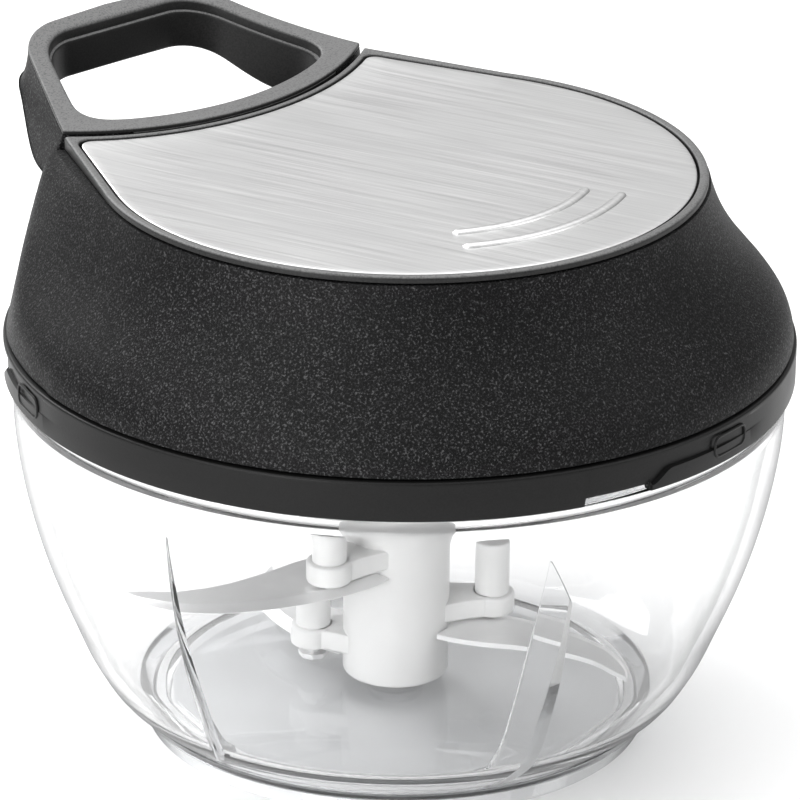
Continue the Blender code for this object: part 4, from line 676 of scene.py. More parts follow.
def share_curve(shares, position):
    """A smooth value between given shares, by a cubic through them."""
    at = [pair[0] for pair in shares]
    value = [pair[1] for pair in shares]
    slope = np.gradient(value, at)
    i = min(max(int(np.searchsorted(at, position)) - 1, 0), len(at) - 2)
    width = at[i + 1] - at[i]
    t = min(max((position - at[i]) / width, 0.0), 1.0)
    before = (1 + 2 * t) * (1 - t) ** 2 * value[i] + t * (1 - t) ** 2 * width * slope[i]
    after = t * t * (3 - 2 * t) * value[i + 1] - t * t * (1 - t) * width * slope[i + 1]
    return float(before + after)


def smooth_step(position):
    t = min(max(position, 0.0), 1.0)
    return t * t * (3 - 2 * t)


def soft_min(a, b):
    """The smaller of two radii, with their crossing rounded over BLEND_WIDTH."""
    h = min(max((1 + (b - a) / BLEND_WIDTH) / 2, 0.0), 1.0)
    return b * (1 - h) + a * h - BLEND_WIDTH * h * (1 - h)


def skirt_radius(height):
    share = share_curve(SKIRT_SHARES, (height - SKIRT_LOW) / (RIM_PLANE - SKIRT_LOW))
    return RIM_TOP_RADIUS + (SKIRT_RADIUS - RIM_TOP_RADIUS) * share


def side_radius(radius, off_axis):
    """Reach of the rim where its straight side runs on towards the handle."""
    turn = min(max(SIDE_ANGLE - off_axis, 0), SIDE_ANGLE)
    return radius / math.cos(math.radians(turn))


def lid_radius(height, direction):
    off_axis = abs((direction - 90 + 180) % 360 - 180)
    up = (height - SKIRT_LOW) / (RIM_PLANE - SKIRT_LOW)
    past = (off_axis - SHOULDER_FULL_ANGLE) / (SHOULDER_END_ANGLE - SHOULDER_FULL_ANGLE)
    swell = SHOULDER_SWELL * share_curve(SWELL_SHARES, up) * (1 - smooth_step(past))
    reach = side_radius(skirt_radius(height), off_axis) + swell
    limit = SKIRT_RADIUS - SECTOR_DRAFT * up * (1 - smooth_step(past))
    return soft_min(reach, limit) if off_axis < SHOULDER_END_ANGLE else min(reach, limit)


def top_height(y):
    """Height of the lid's and the handle's common top, which sweeps up towards the handle's end."""
    t = max(y - TOP_RISE_START, 0) / (HANDLE_END - TOP_RISE_START)
    return RIM_PLANE + TOP_RISE * t * t


def tail_height(y):
    t = 1 + (y - HANDLE_END) / TAIL_LENGTH
    return POCKET_FLOOR + SEAT_GAP + TAIL_RISE * smooth_step(t)


def side_line_x(radius, y):
    """Half-width of the straight side at y, tangent to a rim of this radius."""
    slope = math.radians(SIDE_ANGLE)
    return (radius - y * math.cos(slope)) / math.sin(slope)


def seam_corner(radius, seam):
    """Angle at the seam's centre where the seam arc meets the straight side."""
    low, high = 0.0, 80.0
    for _ in range(40):
        middle = (low + high) / 2
        x = seam * math.sin(math.radians(middle))
        y = SEAM_CENTRE_Y - seam * math.cos(math.radians(middle))
        if x < side_line_x(radius, y):
            low = middle
        else:
            high = middle
    return low


def bent(start, corner, end, t):
    """A place on the smooth bend from start to end that heads for the corner."""
    return tuple(start * (1 - t) ** 2 + corner * 2 * t * (1 - t) + end * t * t)


def soften(points, corner, reach):
    """Points with the corner at an index replaced by a smooth bend of this reach."""
    here = Vector(points[corner])
    before = Vector(points[corner - 1])
    after = Vector(points[(corner + 1) % len(points)])
    start = here + (before - here).normalized() * reach
    end = here + (after - here).normalized() * reach
    bend = [bent(start, here, end, i / 11) for i in range(12)]
    return points[:corner] + bend + points[corner + 1:]


def rim_outline(inset, seam_inset, corner):
    """Outline of the lid's top inside the rim by an inset: round, straight sides, seam arc."""
    radius = RIM_TOP_RADIUS - inset
    seam = SEAM_RADIUS + seam_inset
    tangent = 90 - SIDE_ANGLE
    around = arc(radius, 180 - tangent, 360 + tangent, 145)
    end = seam_corner(radius, seam)
    trim = math.degrees(corner / seam) * BEND_ROOM_SHARE
    ends = arc(seam, 270 + end, 270 - end, 2, (0, SEAM_CENTRE_Y))
    between = arc(seam, 270 + end - trim, 270 - end + trim, 81, (0, SEAM_CENTRE_Y))
    outline = around + [ends[0]] + between + [ends[1]]
    outline = soften(outline, len(outline) - 1, corner)
    return soften(outline, len(around), corner)


def round_end(side, end, corner, inset, steps):
    """Right half of a rounded end at y = end, tangent to the straight side; all inset alike."""
    lean = math.radians(SIDE_ANGLE)
    y = end - corner
    x = (side - corner - y * math.cos(lean)) / math.sin(lean)
    return arc(corner - inset, 90 - SIDE_ANGLE, 87, steps, (x, y))


def hole_outline(grow):
    """Outline of the finger hole, larger by grow all round."""
    near = HOLE_NEAR_RADIUS + grow
    side = HOLE_SIDE + grow
    far = round_end(HOLE_SIDE, HOLE_END, HOLE_CORNER_RADIUS, -grow, 24)
    far += [(-x, y) for x, y in reversed(far)]
    end = seam_corner(side, near)
    inside = end - math.degrees(HOLE_NEAR_CORNER / near) * BEND_ROOM_SHARE
    between = arc(near, 270 - inside, 270 + inside, 61, (0, SEAM_CENTRE_Y))
    ends = arc(near, 270 - end, 270 + end, 2, (0, SEAM_CENTRE_Y))
    outline = far + [ends[0]] + between + [ends[1]]
    outline = soften(outline, len(outline) - 1, HOLE_NEAR_CORNER)
    return soften(outline, len(far), HOLE_NEAR_CORNER)


def spread(start, end, count):
    return [start + (end - start) * i / (count - 1) for i in range(count)]


def blade_outline(length, inset):
    """The blade's outline pointing along +X: cutting edge moved in by inset, then the back."""
    grow = length - BLADE_ROOT_RADIUS
    edge = [polar(BLADE_ROOT_RADIUS + grow * share, degrees) for share, degrees in BLADE_EDGE_SHARES]
    back = [polar(BLADE_ROOT_RADIUS + grow * share, degrees) for share, degrees in BLADE_BACK_SHARES]
    moved = []
    for i, (x, y) in enumerate(edge):
        ahead = edge[min(i + 1, len(edge) - 1)]
        behind = edge[max(i - 1, 0)]
        along = Vector((ahead[0] - behind[0], ahead[1] - behind[1])).normalized()
        fade = min(1.0, (1 - i / (len(edge) - 1)) / GRIND_FADE_SHARE)
        place = Vector((x + along.y * inset * fade, y - along.x * inset * fade))
        if inset:
            place *= max(1.0, BLADE_ROOT_RADIUS / place.length)
        moved.append(tuple(place))
    return moved + back


def eyelet_mouth_y():
    """The inner end of the cord's guide."""
    return SEAM_Y - SEAM_WALL - SEAT_GAP - EYELET_FLANGE


def cord_points():
    """The cord from its start on the drum, up five turns and out through the eyelet."""
    lay = DRUM_RADIUS + CORD_RADIUS + SEAT_GAP
    bend_y = eyelet_mouth_y() - CORD_RADIUS
    leave = 90 - math.degrees(math.acos(lay / bend_y))
    count = CORD_TURNS * CORD_LOOP_POINTS
    top = DRUM_SPACE_LOW + CORD_RADIUS + SEAT_GAP + CORD_TURNS * CORD_PITCH
    points = []
    for i in range(count + 1):
        back = count - i
        degrees = leave - 360 * back / CORD_LOOP_POINTS
        points.append((*polar(lay, degrees), top - CORD_PITCH * back / CORD_LOOP_POINTS))
    last = Vector(points[-1])
    goal = Vector((0, bend_y, CORD_Z))
    points += [tuple(last.lerp(goal, share)) for share in CORD_LEAD_SHARES]
    points.append((0, bend_y + CORD_RADIUS / 2, CORD_Z))
    points.append((0, ferrule_y() - FERRULE_RADIUS - SEAT_GAP, CORD_Z))
    return points


def ferrule_y():
    return SEAM_Y + SEAM_GAP + FERRULE_OFFSET


def post_places():
    return [polar(POST_PITCH_RADIUS, POST_DIRECTION + 180 + i * 360 / POST_COUNT)
            for i in range(POST_COUNT)]


def handle_screw_places():
    """The two screws stand in the frame's corners, at an even margin from the seam."""
    reach = HANDLE_RADIUS - HANDLE_SCREW_MARGIN
    y = SEAM_CENTRE_Y - math.sqrt(reach * reach - HANDLE_SCREW_X * HANDLE_SCREW_X)
    return [(-HANDLE_SCREW_X, y), (HANDLE_SCREW_X, y)]


def bowl_outer_profile():
    points = []
    count = 44
    top = BOWL_WALL_SHARES[0][1]
    low = BOWL_WALL_SHARES[-1][1]
    heights = [(h, r) for r, h in reversed(BOWL_WALL_SHARES)]
    for i in range(count):
        share = top + (low - top) * i / (count - 1)
        points.append((BOWL_RADIUS * share_curve(heights, share), BOWL_HEIGHT * share))
    return points


# Mesh making


def new_object(name, mesh, look=None):
    made = bpy.data.objects.new(name, mesh)
    bpy.context.scene.collection.objects.link(made)
    if look:
        mesh.materials.clear()
        mesh.materials.append(LOOKS[look])
    return made


def tidy_mesh(shape, name):
    bmesh.ops.remove_doubles(shape, verts=shape.verts, dist=WELD / 10)
    bmesh.ops.dissolve_degenerate(shape, edges=shape.edges, dist=WELD / 10)
    bare = [edge for edge in shape.edges if not edge.link_faces]
    bmesh.ops.delete(shape, geom=bare, context="EDGES")
    bmesh.ops.recalc_face_normals(shape, faces=shape.faces)
    if shape.calc_volume(signed=True) < 0:
        bmesh.ops.reverse_faces(shape, faces=shape.faces)
    mesh = bpy.data.meshes.new(name)
    shape.to_mesh(mesh)
    shape.free()
    return mesh


def ring_solid(name, sections, around=True, ends=False):
    """A body through sections, each a closed loop of points; around joins the last to the first."""
    shape = bmesh.new()
    rows = [[shape.verts.new(point) for point in section] for section in sections]
    count = len(rows[0])
    pairs = list(zip(rows, rows[1:])) + ([(rows[-1], rows[0])] if around else [])
    for a, b in pairs:
        for i in range(count):
            j = (i + 1) % count
            shape.faces.new((a[i], a[j], b[j], b[i]))
    if ends:
        shape.faces.new(rows[0])
        shape.faces.new(rows[-1])
    return new_object(name, tidy_mesh(shape, name))


def turned(name, profile, steps=192):
    """A turned solid from the closed profile of (radius, height)."""
    sections = []
    for i in range(steps):
        cos, sin = polar(1, 360 * i / steps)
        sections.append([(r * cos, r * sin, z) for r, z in profile])
    return ring_solid(name, sections)


def eased(profile, reach, bends=4, least=30):
    """The closed profile with each sharp corner replaced by a small bend of this reach."""
    made = []
    for i, place in enumerate(profile):
        here = Vector(place)
        before = Vector(profile[i - 1]) - here
        after = Vector(profile[(i + 1) % len(profile)]) - here
        turn = math.degrees((-before).angle(after))
        if turn < least or here.x < WELD:
            made.append(tuple(here))
            continue
        start = here + before.normalized() * min(reach, before.length * 0.45)
        end = here + after.normalized() * min(reach, after.length * 0.45)
        made += [bent(start, here, end, k / bends) for k in range(bends + 1)]
    return made


def flat(name, outlines, low, high):
    """A flat piece between two heights, from closed outlines; an inner outline is a hole."""
    curve = bpy.data.curves.new(name, "CURVE")
    curve.dimensions = "2D"
    curve.fill_mode = "BOTH"
    curve.extrude = (high - low) / 2
    for outline in outlines:
        spline = curve.splines.new("POLY")
        spline.points.add(len(outline) - 1)
        for point, (x, y) in zip(spline.points, outline):
            point.co = (x, y, 0, 1)
        spline.use_cyclic_u = True
    source = bpy.data.objects.new(name, curve)
    bpy.context.scene.collection.objects.link(source)
    source.location = (0, 0, (low + high) / 2)
    return settled(source, name)


def settled(source, name, look=None):
    """The source's evaluated shape as a mesh object of its own; the source is removed."""
    bpy.context.view_layer.update()
    graph = bpy.context.evaluated_depsgraph_get()
    mesh = bpy.data.meshes.new_from_object(source.evaluated_get(graph), depsgraph=graph)
    mesh.transform(source.matrix_world)
    shape = bmesh.new()
    shape.from_mesh(mesh)
    bmesh.ops.remove_doubles(shape, verts=shape.verts, dist=WELD)
    shape.to_mesh(mesh)
    shape.free()
    bpy.data.objects.remove(source, do_unlink=True)
    return new_object(name, mesh, look)


def tools_of(piece):
    """The solids that a piece's cuts use, with the tools of their own cuts."""
    made = []
    for step in piece.modifiers:
        made += [step.object, *tools_of(step.object)]
    return made


def worked(source, name, look=None):
    """The source settled with its cuts made, and their tools removed."""
    tools = tools_of(source)
    made = settled(source, name, look)
    for tool in tools:
        bpy.data.objects.remove(tool, do_unlink=True)
    return made


def finished(name, source, look, node, angle=34, more=(), rides=True):
    """The source's shape, joined with more loose solids, in place of a node."""
    made = worked(source, name, look)
    if more:
        shape = bmesh.new()
        shape.from_mesh(made.data)
        for extra in more:
            shape.from_mesh(extra.data)
            bpy.data.objects.remove(extra, do_unlink=True)
        shape.to_mesh(made.data)
        shape.free()
    made.data.shade_smooth()
    made.data.set_sharp_from_angle(angle=math.radians(angle))
    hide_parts(node)
    if rides:
        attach(made, BODY_OF[node])
    return made


def round_bar(name, radius, low, high, place):
    return flat(name, [circle(radius, place)], low, high)


def eased_post(name, radius, low, high, reach):
    return turned(name, eased([(0, low), (radius, low), (radius, high), (0, high)], reach), 64)


def seam_disc(name, radius, low, high):
    return flat(name, [circle(radius, (0, SEAM_CENTRE_Y), 288)], low, high)


def along_y(name, radius, low, high, height):
    """A round bar along Y, at a height."""
    sections = []
    for x, rise in circle(radius, count=32):
        z = height + rise
        sections.append([(0, low, height), (x, low, z), (x, high, z), (0, high, height)])
    return ring_solid(name, sections)


def tube(name, points, radius, sides=12, closed=False, flat_share=1.0, up=None):
    """A tube along points; flat_share lowers it along up."""
    places = [Vector(point) for point in points]
    sections = []
    count = len(places)
    for i, place in enumerate(places):
        ahead = places[(i + 1) % count] if closed else places[min(i + 1, count - 1)]
        behind = places[i - 1] if closed or i else places[0]
        along = (ahead - behind).normalized()
        rise = (up[i] if up else Vector((0, 0, 1)))
        side = along.cross(rise).normalized()
        rise = side.cross(along).normalized() * flat_share
        size = radius
        if not closed:
            reach = min(i, count - 1 - i)
            size = radius * (0.35, 0.8, 1.0)[min(reach, 2)] if flat_share < 1 else radius
        ring = []
        for k in range(sides):
            cos, sin = polar(size, 360 * k / sides)
            ring.append(tuple(place + side * cos + rise * sin))
        sections.append(ring)
    return ring_solid(name, sections, closed, not closed)


def by_rays(outline, centre, directions):
    """Distances from a centre to a closed outline in the given directions in degrees."""
    points = np.array(outline) - np.array(centre)
    nexts = np.roll(points, -1, axis=0)
    made = []
    for degrees in directions:
        way = np.array(polar(1, degrees))
        cross_a = way[0] * points[:, 1] - way[1] * points[:, 0]
        cross_b = way[0] * nexts[:, 1] - way[1] * nexts[:, 0]
        hit = np.nonzero((cross_a <= 0) & (cross_b > 0))[0]
        best = 0.0
        for i in hit:
            t = cross_a[i] / (cross_a[i] - cross_b[i])
            place = points[i] + (nexts[i] - points[i]) * t
            best = max(best, float(place @ way))
        made.append(best)
    return np.array(made)


# The bowl


def make_bowl():
    outer = bowl_outer_profile()
    outside = [(RIM_RADIUS, RIM_TOP), (RIM_RADIUS, BOWL_HEIGHT), (FLANGE_RADIUS, BOWL_HEIGHT),
               (FLANGE_RADIUS, BOWL_HEIGHT - FLANGE_HEIGHT)]
    outside += outer[1:]
    floor_low = FLOOR_TOP - FLOOR_THICKNESS
    outside += [(FOOT_RADIUS + FOOT_FLARE, FOOT_HEIGHT), (FOOT_RADIUS, FOOT_LIFT),
                (FOOT_RADIUS - FOOT_WIDTH, FOOT_LIFT), (FOOT_RADIUS - FOOT_WIDTH, floor_low)]
    inner = []
    for radius, height in reversed(outer):
        if height > FLOOR_TOP + BOWL_WALL + WALL_ROUND:
            low = max(0.0, 1 - (height - FLOOR_TOP) / (BOWL_WALL + WALL_ROUND) / 3)
            inner.append((radius - BOWL_WALL * (1 + WALL_THICKEN_SHARE * low), height))
    first = Vector(inner[0])
    start = Vector((FLOOR_RADIUS - FLOOR_BEND_START, FLOOR_TOP))
    knee = Vector((FLOOR_RADIUS + FLOOR_BEND_REACH, FLOOR_TOP))
    bend = [bent(start, knee, first, t) for t in spread(0, FLOOR_BEND_END_SHARE, 12)]
    inside = [(0, FLOOR_TOP)] + bend + inner[:-1]
    inside += [(RIM_RADIUS - RIM_WALL, BOWL_HEIGHT), (RIM_RADIUS - RIM_WALL, RIM_TOP)]
    profile = inside + outside + [(0, floor_low)]
    bowl = turned("clear_bowl", eased(profile, BOWL_EASE, least=24), BOWL_STEPS)
    in_floor = FLOOR_TOP - FLOOR_THICKNESS / 2
    join(bowl, eased_post("pin_boss", PIN_BOSS_RADIUS, in_floor, FLOOR_TOP + PIN_BOSS_RISE, BOSS_EASE))
    low = BOWL_HEIGHT + LUG_LOW
    for i in range(LUG_COUNT):
        middle = LUG_DIRECTION + i * 360 / LUG_COUNT
        outline = sector(RIM_RADIUS - RIM_WALL / 2, LUG_RADIUS, middle - LUG_HALF_ANGLE,
                         middle + LUG_HALF_ANGLE, 16)
        join(bowl, flat(f"lug_{i + 1}", [eased(outline, LUG_EASE)], low, low + LUG_HEIGHT))
    for i, direction in enumerate(FIN_PLACES):
        join(bowl, make_fin(f"fin_{i + 1}", direction, outer))
    cut(bowl, round_bar("pin_bore", PIN_RADIUS + SEAT_GAP, in_floor + SEAT_GAP,
                        FLOOR_TOP + PIN_BOSS_RISE + OVERRUN, (0, 0)))
    return finished("clear_bowl", bowl, "clear_plastic", "bowl")


def make_fin(name, direction, outer):
    """A thin fin along the bowl's wall: it leaves the wall at its horn and stands on the floor."""
    low_z = FLOOR_TOP - FLOOR_THICKNESS / 4
    radii = [r for r, _ in reversed(outer)]
    heights = [h for _, h in reversed(outer)]
    sections = []
    for t in spread(0, 1, FIN_STEPS):
        z = FIN_HORN_TOP + (low_z - FIN_HORN_TOP) * t
        wall = np.interp(z, heights, radii) - BOWL_WALL / 2
        free = min(max((z - FIN_WALL_TOP) / (FIN_HORN_TOP - FIN_WALL_TOP), 0), 1)
        back = (FIN_REACH + BOWL_WALL / 2 - FIN_SINK) * free ** 1.3
        front = FIN_REACH + FIN_SWELL * math.sin(math.pi * t) + FIN_FOOT_FLARE * t ** 6 + BOWL_WALL / 2
        half = FIN_THICKNESS / 2 * (FIN_TIP_SHARE + (1 - FIN_TIP_SHARE) * smooth_step(t * 1.3))
        outline = [(back, -half), (back, half)] + arc(half, 90, -90, 9, (front - half, 0))
        turn = math.radians(direction + 180 + FIN_TURN)
        base_x, base_y = polar(wall, direction)
        ring = []
        for out, side in outline:
            ring.append((base_x + out * math.cos(turn) - side * math.sin(turn),
                         base_y + out * math.sin(turn) + side * math.cos(turn), z))
        sections.append(ring)
    return ring_solid(name, sections, False, True)


# The chopper


def make_hub():
    bore = PIN_RADIUS + SEAT_GAP
    profile = [
        (0, SOCKET_LOW), (SOCKET_RADIUS, SOCKET_LOW), (SOCKET_RADIUS, HUB_TOP), (HUB_RADIUS, HUB_TOP),
        (HUB_RADIUS, HUB_LOW), (bore, HUB_LOW), (bore, PIN_TOP + SEAT_GAP), (0, PIN_TOP + SEAT_GAP),
    ]
    hub = turned("hub", eased(profile, HUB_ROUND / 2, 5), 96)
    extra = []
    for i in range(SPLINE_COUNT):
        middle = 90 + (i + 0.5) * 360 / SPLINE_COUNT
        outline = sector(RIB_RADIUS, SOCKET_RADIUS + HUB_ROUND / 4, middle - RIB_HALF_ANGLE,
                         middle + RIB_HALF_ANGLE, 8)
        extra.append(flat(f"rib_{i + 1}", [outline], SOCKET_LOW - HUB_ROUND / 2, HUB_TOP - HUB_ROUND))
    for name, _, direction, level, pin_angle, pitch, height in BLADES:
        low = level + BLADE_THICKNESS + SEAT_GAP
        high = low + ARM_HEIGHT
        centre = polar(pitch, direction + pin_angle)
        extra.append(make_arm(f"arm_{name}", Vector(centre), low, high))
        collar = eased_post(f"collar_{name}", COLLAR_RADIUS, low, high, COLLAR_EASE)
        post = eased_post(f"post_{name}", BLADE_PIN_RADIUS, low + ARM_HEIGHT / 2, high + height, POST_EASE)
        for bar in (collar, post):
            bar.data.transform(Matrix.Translation((*centre, 0)))
            extra.append(bar)
    return finished("white_hub", hub, "white_plastic", "blade_hub", more=extra)


def make_arm(name, centre, low, high):
    """An arm from the hub to a collar's centre, wider at the hub and rounded at its edges."""
    along = centre.normalized()
    across = Vector((-along.y, along.x))
    root = along * (HUB_RADIUS * ARM_START_SHARE)
    tip_half = COLLAR_RADIUS * ARM_TIP_SHARE
    side = [(root.lerp(centre, t), tip_half + (HUB_RADIUS * ARM_ROOT_SHARE - tip_half) * (1 - t) ** 2)
            for t in spread(0, 1, 9)]
    edges = [(inset, low + rise) for inset, rise in ARM_LOW_ROUND]
    edges += [(inset, high - drop) for inset, drop in ARM_TOP_ROUND]
    rings = []
    for inset, z in edges:
        left = [place + across * (wide - inset) for place, wide in side]
        right = [place - across * (wide - inset) for place, wide in side]
        rings.append([(*place, z) for place in right + left[::-1]])
    return ring_solid(name, rings, False, True)


def curved(points, count=4):
    """More points along a smooth line through the given ones."""
    places = [Vector(point) for point in points]
    made = []
    for i in range(len(places) - 1):
        a, b = places[i], places[i + 1]
        before = places[max(i - 1, 0)]
        after = places[min(i + 2, len(places) - 1)]
        for k in range(count):
            t = k / count
            lead = (b - before) * 0.5
            trail = (after - a) * 0.5
            place = a * (1 - t) ** 2 * (1 + 2 * t) + b * t * t * (3 - 2 * t)
            place = place + lead * t * (1 - t) ** 2 - trail * t * t * (1 - t)
            made.append(place)
    return made + [places[-1]]


def make_blade(name, length, direction, level, pin_angle, pin_pitch, _):
    edge_count = len(BLADE_EDGE_SHARES)
    rows = []
    for inset in (0, BLADE_GRIND * GRIND_BEND_SHARE, BLADE_GRIND):
        points = blade_outline(length, inset)
        rows.append(curved(points[:edge_count], 5) + curved(points[edge_count - 1:-3], 5)[1:] + points[-3:])
    full, near, ground = [[tuple(p) for p in row] for row in rows]
    heights = ((full, 0), (full, BLADE_EDGE / 2), (near, BLADE_THICKNESS * GRIND_TOP_SHARE),
               (ground, BLADE_THICKNESS))
    spin = Matrix.Translation((0, 0, level)) @ Matrix.Rotation(math.radians(direction), 4, "Z")
    sections = [[tuple(spin @ Vector((x, y, z))) for x, y in row] for row, z in heights]
    blade = ring_solid("steel_" + name, sections, False, True)
    cut(blade, round_bar(f"hole_{name}", RIVET_SHANK_RADIUS + SEAT_GAP, level - OVERRUN, level + OVERRUN,
                         polar(pin_pitch, direction + pin_angle)))
    return finished("steel_blade_" + name, blade, "bright_steel", "blade_" + name, 24)


# The lid


def band_directions():
    """Directions round the band, close together at the ends of its recesses."""
    made = set(np.round(spread(0, 358.5, 240), 3))
    for i in range(LUG_COUNT):
        at = LUG_DIRECTION + i * 360 / LUG_COUNT
        for place in (NOTCH_START_ANGLE - RECESS_LEAD_ANGLE, NOTCH_START_ANGLE, NOTCH_END_ANGLE):
            made |= {round((at + place + step) % 360, 3) for step in (-0.3, -0.15, 0, 0.15, 0.3)}
        made |= {round((at + place) % 360, 3) for place in spread(NOTCH_END_ANGLE, NOTCH_RAMP_ANGLE, 9)}
        made |= {round((at + place) % 360, 3) for place in spread(NOTCH_RAMP_ANGLE, RECESS_END_ANGLE + 2, 26)}
    return sorted(made)


def band_section(degrees):
    """The band's section in one direction: a rounded wall, with the recess and the lip cut in."""
    turns = [(degrees - LUG_DIRECTION - i * 360 / LUG_COUNT + 180) % 360 - 180 for i in range(LUG_COUNT)]
    turn = min(turns, key=abs)
    start = NOTCH_START_ANGLE - RECESS_LEAD_ANGLE
    notch = NOTCH_START_ANGLE < turn < NOTCH_END_ANGLE
    low = BAND_LOW + (NOTCH_RISE if notch else 0)
    inner = BAND_RADIUS - BAND_WALL
    depth, lip, foot = 0.0, BAND_LOW + LIP_HEIGHT, BAND_RADIUS
    if start < turn <= NOTCH_END_ANGLE:
        depth, lip, foot = NOTCH_DEPTH, low + LIP_LEAST, BAND_RADIUS - NOTCH_DEPTH
    elif turn > NOTCH_END_ANGLE:
        fade = 1 - smooth_step((turn - NOTCH_RAMP_ANGLE) / (RECESS_END_ANGLE - NOTCH_RAMP_ANGLE))
        depth = NOTCH_DEPTH * fade
        ramp = smooth_step((turn - NOTCH_END_ANGLE) / (NOTCH_RAMP_ANGLE - NOTCH_END_ANGLE))
        lip = BAND_LOW + NOTCH_RISE + (LIP_HEIGHT - NOTCH_RISE) * ramp
        lip = max(lip, BAND_LOW + LIP_LEAST)
    high = BAND_TOP - RECESS_TOP_EDGE
    edge = BAND_EDGE
    step = RECESS_EDGE
    points = [(BAND_FLANGE_RADIUS, BAND_TOP)]
    points += arc(edge, 90, 0, 5, (BAND_RADIUS - edge, BAND_TOP - edge))
    points += [(BAND_RADIUS, high), (BAND_RADIUS - depth * 0.3, high - step * 0.3),
               (BAND_RADIUS - depth, high - step), (BAND_RADIUS - depth, high - step * 3)]
    points += [(BAND_RADIUS - depth, lip + step * 3), (BAND_RADIUS - depth, lip + step),
               (BAND_RADIUS - depth * 0.3 - (BAND_RADIUS - foot) * 0.7, lip + step * 0.3), (foot, lip)]
    points += arc(edge, 0, -90, 5, (foot - edge, low + edge))
    points += [(inner + edge / 2, low), (inner, low + edge / 2), (inner, BAND_TOP - BAND_FLANGE_HEIGHT),
               (BAND_FLANGE_RADIUS, BAND_TOP - BAND_FLANGE_HEIGHT)]
    cos, sin = polar(1, degrees)
    return [(r * cos, r * sin, z) for r, z in points]


def make_band():
    band = ring_solid("smooth_band", [band_section(degrees) for degrees in band_directions()])
    hook_low = BAND_LOW + HOOK_LIFT
    extra = []
    for i in range(LUG_COUNT):
        at = LUG_DIRECTION + i * 360 / LUG_COUNT
        outline = sector(HOOK_RADIUS, BAND_RADIUS - BAND_WALL / 2, at + HOOK_START_ANGLE,
                         at + HOOK_END_ANGLE, 16)
        extra.append(flat(f"hook_{i + 1}", [eased(outline, HOOK_EASE)], hook_low, hook_low + HOOK_HEIGHT))
        extra.append(make_mark(f"mark_{i + 1}", at + MARK_TURN))
    return finished("smooth_band", band, "smooth_plastic", "lid_band", more=extra)


def make_mark(name, at):
    """A raised rounded frame on the band that shows where the lid locks."""
    middle = (BAND_LOW + BAND_TOP) / 2
    outline = []
    for x, z, start in ((1, 1, 0), (-1, 1, 90), (-1, -1, 180), (1, -1, 270)):
        centre = (x * (MARK_HALF_WIDTH - MARK_CORNER), z * (MARK_HALF_HEIGHT - MARK_CORNER))
        outline += arc(MARK_CORNER, start, start + 90, 7, centre)
    points, up = [], []
    for along, z in outline:
        degrees = at + math.degrees(along / BAND_RADIUS)
        points.append((*polar(BAND_RADIUS - MARK_SINK, degrees), middle + z))
        up.append(Vector((*polar(1, degrees), 0)))
    return tube(name, points, MARK_LINE, 10, True, 0.9, up)


def make_skirt():
    sections = []
    for i in range(SKIRT_STEPS):
        degrees = 360 * i / SKIRT_STEPS
        ring = [(*polar(lid_radius(SKIRT_LOW, degrees) - SKIRT_EDGE, degrees), SKIRT_LOW)]
        for height in spread(SKIRT_LOW + SKIRT_EDGE_RISE, DECK_TOP, SKIRT_LEVELS):
            ring.append((*polar(lid_radius(height, degrees), degrees), height))
        sections.append(ring)
    shape = bmesh.new()
    rows = [[shape.verts.new(point) for point in section] for section in sections]
    for a, b in zip(rows, rows[1:] + rows[:1]):
        for k in range(len(a) - 1):
            shape.faces.new((a[k], b[k], b[k + 1], a[k + 1]))
    shape.faces.new([row[0] for row in reversed(rows)])
    shape.faces.new([row[-1] for row in rows])
    shell = new_object("skirt", tidy_mesh(shape, "skirt"))
    cut(shell, seam_disc("handle_pocket", SEAM_RADIUS, POCKET_FLOOR, RIM_PLANE + OVERRUN))
    cut(shell, scoop("lid_scoop", 0, 0))
    cut(shell, lid_cavity())
    bore = CORD_RADIUS + RUN_GAP + EYELET_WALL + SEAT_GAP
    cut(shell, along_y("eyelet_hole", bore, SEAM_Y - SEAM_WALL - OVERRUN, SEAM_Y + OVERRUN, CORD_Z))
    return finished("speckled_skirt", shell, "speckled_plastic", "lid_shell", 30)


def scoop(name, grow, drop):
    """The finger space under the hole: its outline above a floor that falls outwards."""
    tool = flat(name, [hole_outline(grow)], BAND_LOW, RIM_PLANE + TOP_RISE + OVERRUN)
    start_y = SEAM_CENTRE_Y - HOLE_NEAR_RADIUS - OVERRUN
    end_y = HANDLE_END + OVERRUN
    start_z = POCKET_FLOOR - SCOOP_START_DROP - drop
    high = RIM_PLANE + TOP_RISE + OVERRUN * 2
    floor = [(start_y, start_z), (end_y, start_z - SCOOP_FALL / SCOOP_LENGTH * (end_y - start_y))]
    half = BAND_RADIUS + OVERRUN
    sections = [[(x, y, z) for y, z in floor + [(end_y, high), (start_y, high)]] for x in (-half, half)]
    keep_inside(tool, ring_solid(name + "_slab", sections, False, True))
    return tool


def lid_cavity():
    """The space inside the lid's shell, with the walls, posts and centre post left standing."""
    profile = [(0, DECK_LOW)]
    for height in spread(DECK_LOW, SKIRT_LOW, 20):
        profile.append((skirt_radius(height) - SKIRT_WALL, height))
    profile += [(profile[-1][0], SKIRT_LOW - OVERRUN), (0, SKIRT_LOW - OVERRUN)]
    cavity = turned("lid_cavity", profile, 144)
    cut(cavity, seam_disc("pocket_wall", SEAM_RADIUS + SEAM_WALL, POCKET_FLOOR - SEAM_WALL,
                          RIM_PLANE + OVERRUN))
    cut(cavity, scoop("scoop_wall", SEAM_WALL, SEAM_WALL))
    for i, place in enumerate(post_places()):
        cut(cavity, round_bar(f"post_{i + 1}", POST_RADIUS, BASE_TOP + SEAT_GAP, RIM_PLANE, place))
    cut(cavity, round_bar("centre_post", CENTRE_POST_RADIUS, DRUM_SPACE_LOW + RUN_GAP, RIM_PLANE, (0, 0)))
    return cavity


